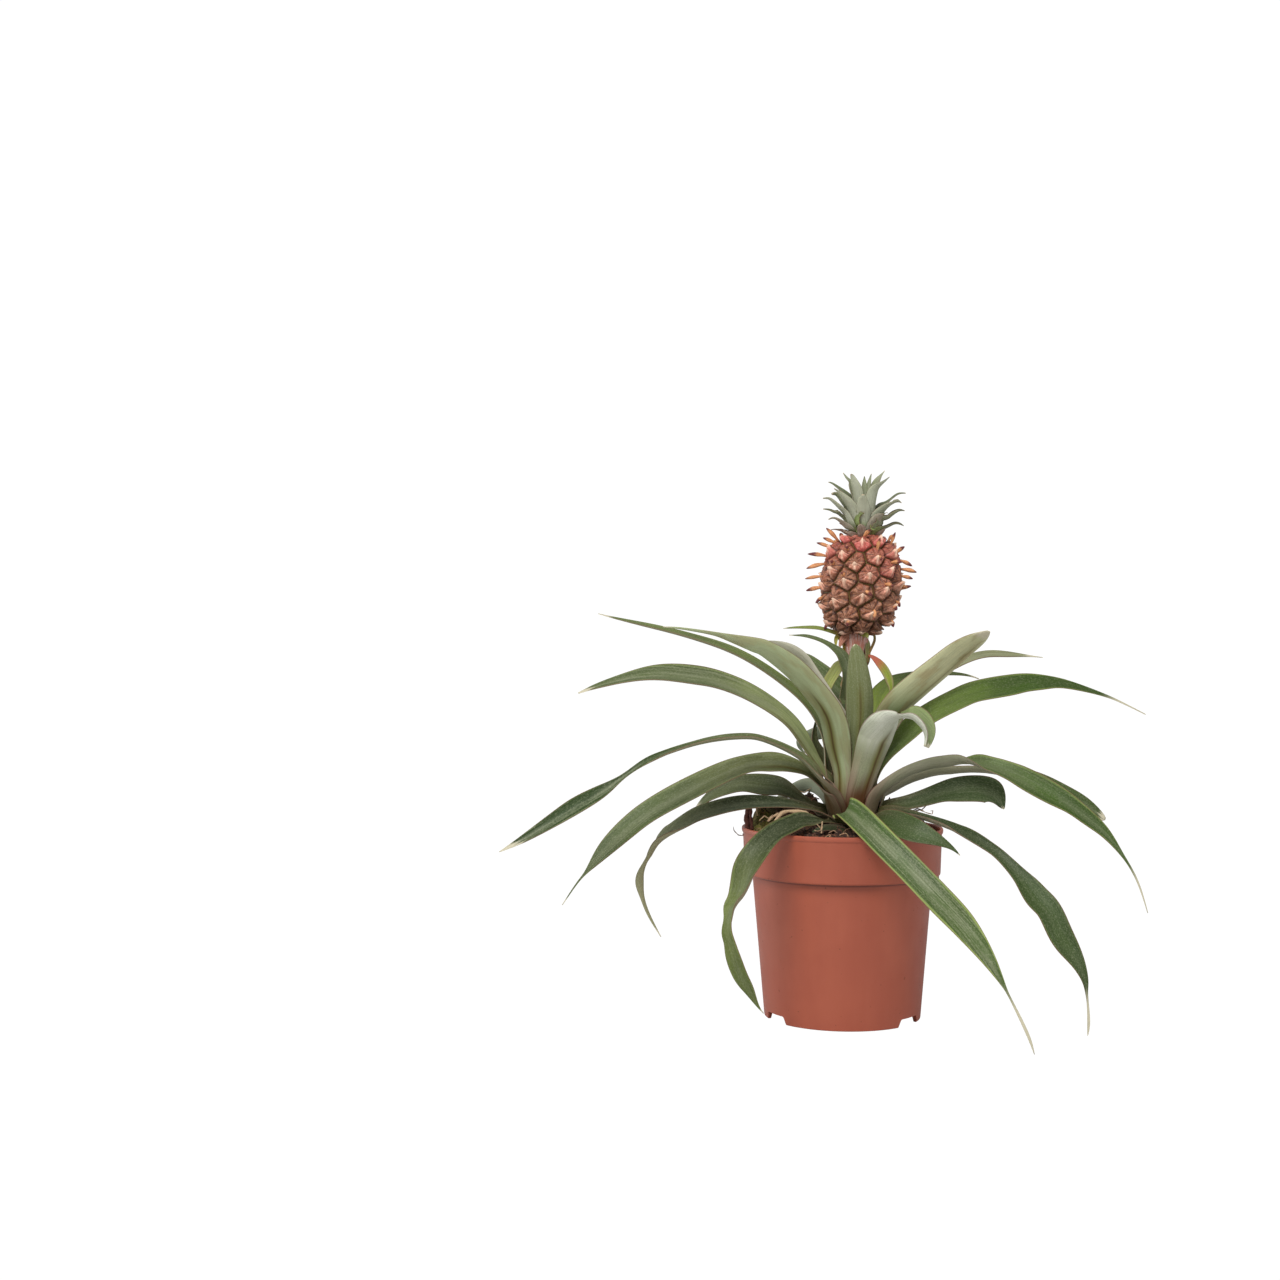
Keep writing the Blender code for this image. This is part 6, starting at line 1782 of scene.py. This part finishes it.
    def strands(self) -> None:
        """Lays the roots, the bark chunk and the pale stick that are told apart from the front.

        Each is a tube of seven sides that thins as sqrt(1 - share^6).
        """
        shares, turn = np.linspace(0.0, 1.0, 18)[:, None], full_turn(7)
        thin = (1 - shares ** 6) ** 0.5
        rings = []
        for number, (_, size, *stations) in enumerate(STRANDS):
            points = even_steps(seen_points(stations), len(shares))
            tangents = np.gradient(points, axis=0)
            sides = unit(np.cross(tangents, np.array([0.1, -1.0, 0.2])))
            overs = unit(np.cross(sides, tangents))
            rough = size * (1 + 0.22 * np.sin(17.0 * shares + 2.0 * turn + number)) * thin
            rings.append(spread(points, sides, overs, rough * np.cos(turn), rough * np.sin(turn)))
        tones = np.array([strand[0] for strand in STRANDS])
        self.scatter(np.array(rings), Litter.STRAND, tint(98, 54, 44), tint(196, 166, 130), tones)

    def scatter(self, rings: Array, kind: Litter, dark: Colour, light: Colour, tones: Array) -> None:
        """Lays many small closed tubes as one piece.

        Args:
            rings: the tubes' points (tubes, rows, ring, 3).
            kind: which litter it is.
            dark: its darkest colour.
            light: its lightest colour.
            tones: each bit's own tone, from 0 for dark to 1 for light.
        """
        points, faces = bundle(rings)
        luck = np.repeat(tones, len(points) // len(rings))
        marks = {"place": np.stack([0 * luck, 0 * luck, luck], axis=-1)}
        bits = lay_piece(kind.value, points, faces, LitterFinish(kind, dark, light).paint(), marks)

    def build(self) -> None:
        """Lays the ground and all the loose bits."""
        self.ground()
        self.chips()
        self.roots()
        self.strands()


# Studio

@dataclass(frozen=True)
class Studio:
    """The floor, the soft lights and the camera at the photograph's viewing point, in metres."""

    focal_pixels: float = 1732.0
    frame_pixels: float = 1280.0
    sensor: float = 36.0
    half_floor: float = 12.0
    floor_z: float = -0.0002
    room: float = 0.45
    white: float = 1.05
    middle: tuple = (0.0, 0.0, 0.16)
    lamps: tuple = (
        ("key_light", (-0.6, -1.2, 1.4), 0.9, 25.0),
        ("rim_light", (-1.2, 0.5, 0.35), 0.7, 4.0),
        ("fill_light", (1.1, -1.0, 0.6), 1.2, 4.0),
    )

    def camera(self) -> None:
        """Places a level camera that looks along +Y."""
        data = bpy.data.cameras.new("camera")
        data.sensor_width = self.sensor
        data.lens = self.focal_pixels / self.frame_pixels * self.sensor
        data.clip_start = 0.01
        data.clip_end = 50.0
        eye = bpy.data.objects.new("camera", data)
        eye.location = (VIEW_X * MM, -VIEW_DISTANCE * MM, VIEW_HEIGHT * MM)
        eye.rotation_euler = (math.radians(90.0), 0.0, 0.0)
        bpy.context.scene.collection.objects.link(eye)
        bpy.context.scene.camera = eye

    def show_white(self, tree: bpy.types.NodeTree, lit: bpy.types.Node, kind: str, end: str) -> None:
        """Shows the camera plain white where all other rays meet a shader.

        Args:
            tree: the nodes of a material or of the room.
            lit: the shader that the other rays meet.
            kind: the type of the shader that shines white.
            end: the output node's name.
        """
        shown = tree.nodes.new(kind)
        shown.inputs["Color"].default_value = (1.0, 1.0, 1.0, 1.0)
        shown.inputs["Strength"].default_value = self.white
        path = tree.nodes.new("ShaderNodeLightPath")
        choice = tree.nodes.new("ShaderNodeMixShader")
        for number, socket in enumerate((path.outputs["Is Camera Ray"], lit.outputs[0], shown.outputs[0])):
            tree.links.new(socket, choice.inputs[number])
        tree.links.new(choice.outputs[0], tree.nodes[end].inputs["Surface"])

    def floor(self) -> None:
        """Lays a plain pale floor that shows as white as the backdrop."""
        paint = Paint("studio_floor")
        material = paint.finish(Base_Color=(0.6, 0.6, 0.6), Roughness=0.9)
        self.show_white(paint.tree, paint.shader, "ShaderNodeEmission", "Material Output")
        mesh = bpy.data.meshes.new("floor")
        half = self.half_floor
        corners = [(-half, -half, 0), (half, -half, 0), (half, half, 0), (-half, half, 0)]
        mesh.from_pydata(corners, [], [(0, 1, 2, 3)])
        mesh.materials.append(material)
        plane = bpy.data.objects.new("floor", mesh)
        plane.location.z = self.floor_z
        bpy.context.scene.collection.objects.link(plane)

    def lamp(self, name: str, place: tuple, size: float, power: float) -> None:
        """Hangs one square soft light that faces the middle of the plant.

        Args:
            name: its name.
            place: where it hangs.
            size: how broad it is.
            power: its power in watts.
        """
        data = bpy.data.lights.new(name, "AREA")
        data.size = size
        data.energy = power
        light = bpy.data.objects.new(name, data)
        light.location = place
        away = np.array(place) - np.array(self.middle)
        level = math.hypot(away[0], away[1])
        light.rotation_euler = (math.atan2(level, away[2]), 0.0, math.atan2(away[0], -away[1]))
        bpy.context.scene.collection.objects.link(light)

    def sky(self) -> None:
        """Lights the room evenly and shows the camera a white backdrop."""
        world = bpy.data.worlds.new("studio_room")
        world.use_nodes = True
        even = world.node_tree.nodes["Background"]
        even.inputs["Color"].default_value = (1.0, 1.0, 1.0, 1.0)
        even.inputs["Strength"].default_value = self.room
        self.show_white(world.node_tree, even, "ShaderNodeBackground", "World Output")
        bpy.context.scene.world = world

    def build(self) -> None:
        """Sets up the whole studio."""
        self.camera()
        self.floor()
        self.sky()
        for lamp in self.lamps:
            self.lamp(*lamp)
        bpy.context.scene.view_settings.view_transform = "Standard"


def main() -> None:
    """Builds the plant's pieces in order and reports each."""
    Studio().build()
    skin = LeafFinish().paint()
    LeafRosette(LEAVES, BladeShaper(), "strap_leaf").build(skin)
    LeafRosette(SLIPS, BladeShaper(), "strap_leaf", packed=False).build(skin)
    shaper = BladeShaper(tail=0.5, hold=0.0, settle=0.06, stations=61, lanes=9)
    skin = LeafFinish(name="bract_skin", base=tint(190, 98, 80), base_reach=20.0).paint()
    LeafRosette(BRACTS, shaper, "stalk_bract").build(skin)
    for part in (Stem(), Fruit(), Crown(), Pot(), Soil()):
        part.build()
    for piece in bpy.context.scene.objects:
        log.info("%s laid as a %s", piece.name, piece.type.lower())


if __name__ == "__main__":
    logging.basicConfig(level=logging.INFO, format="%(message)s")
    main()
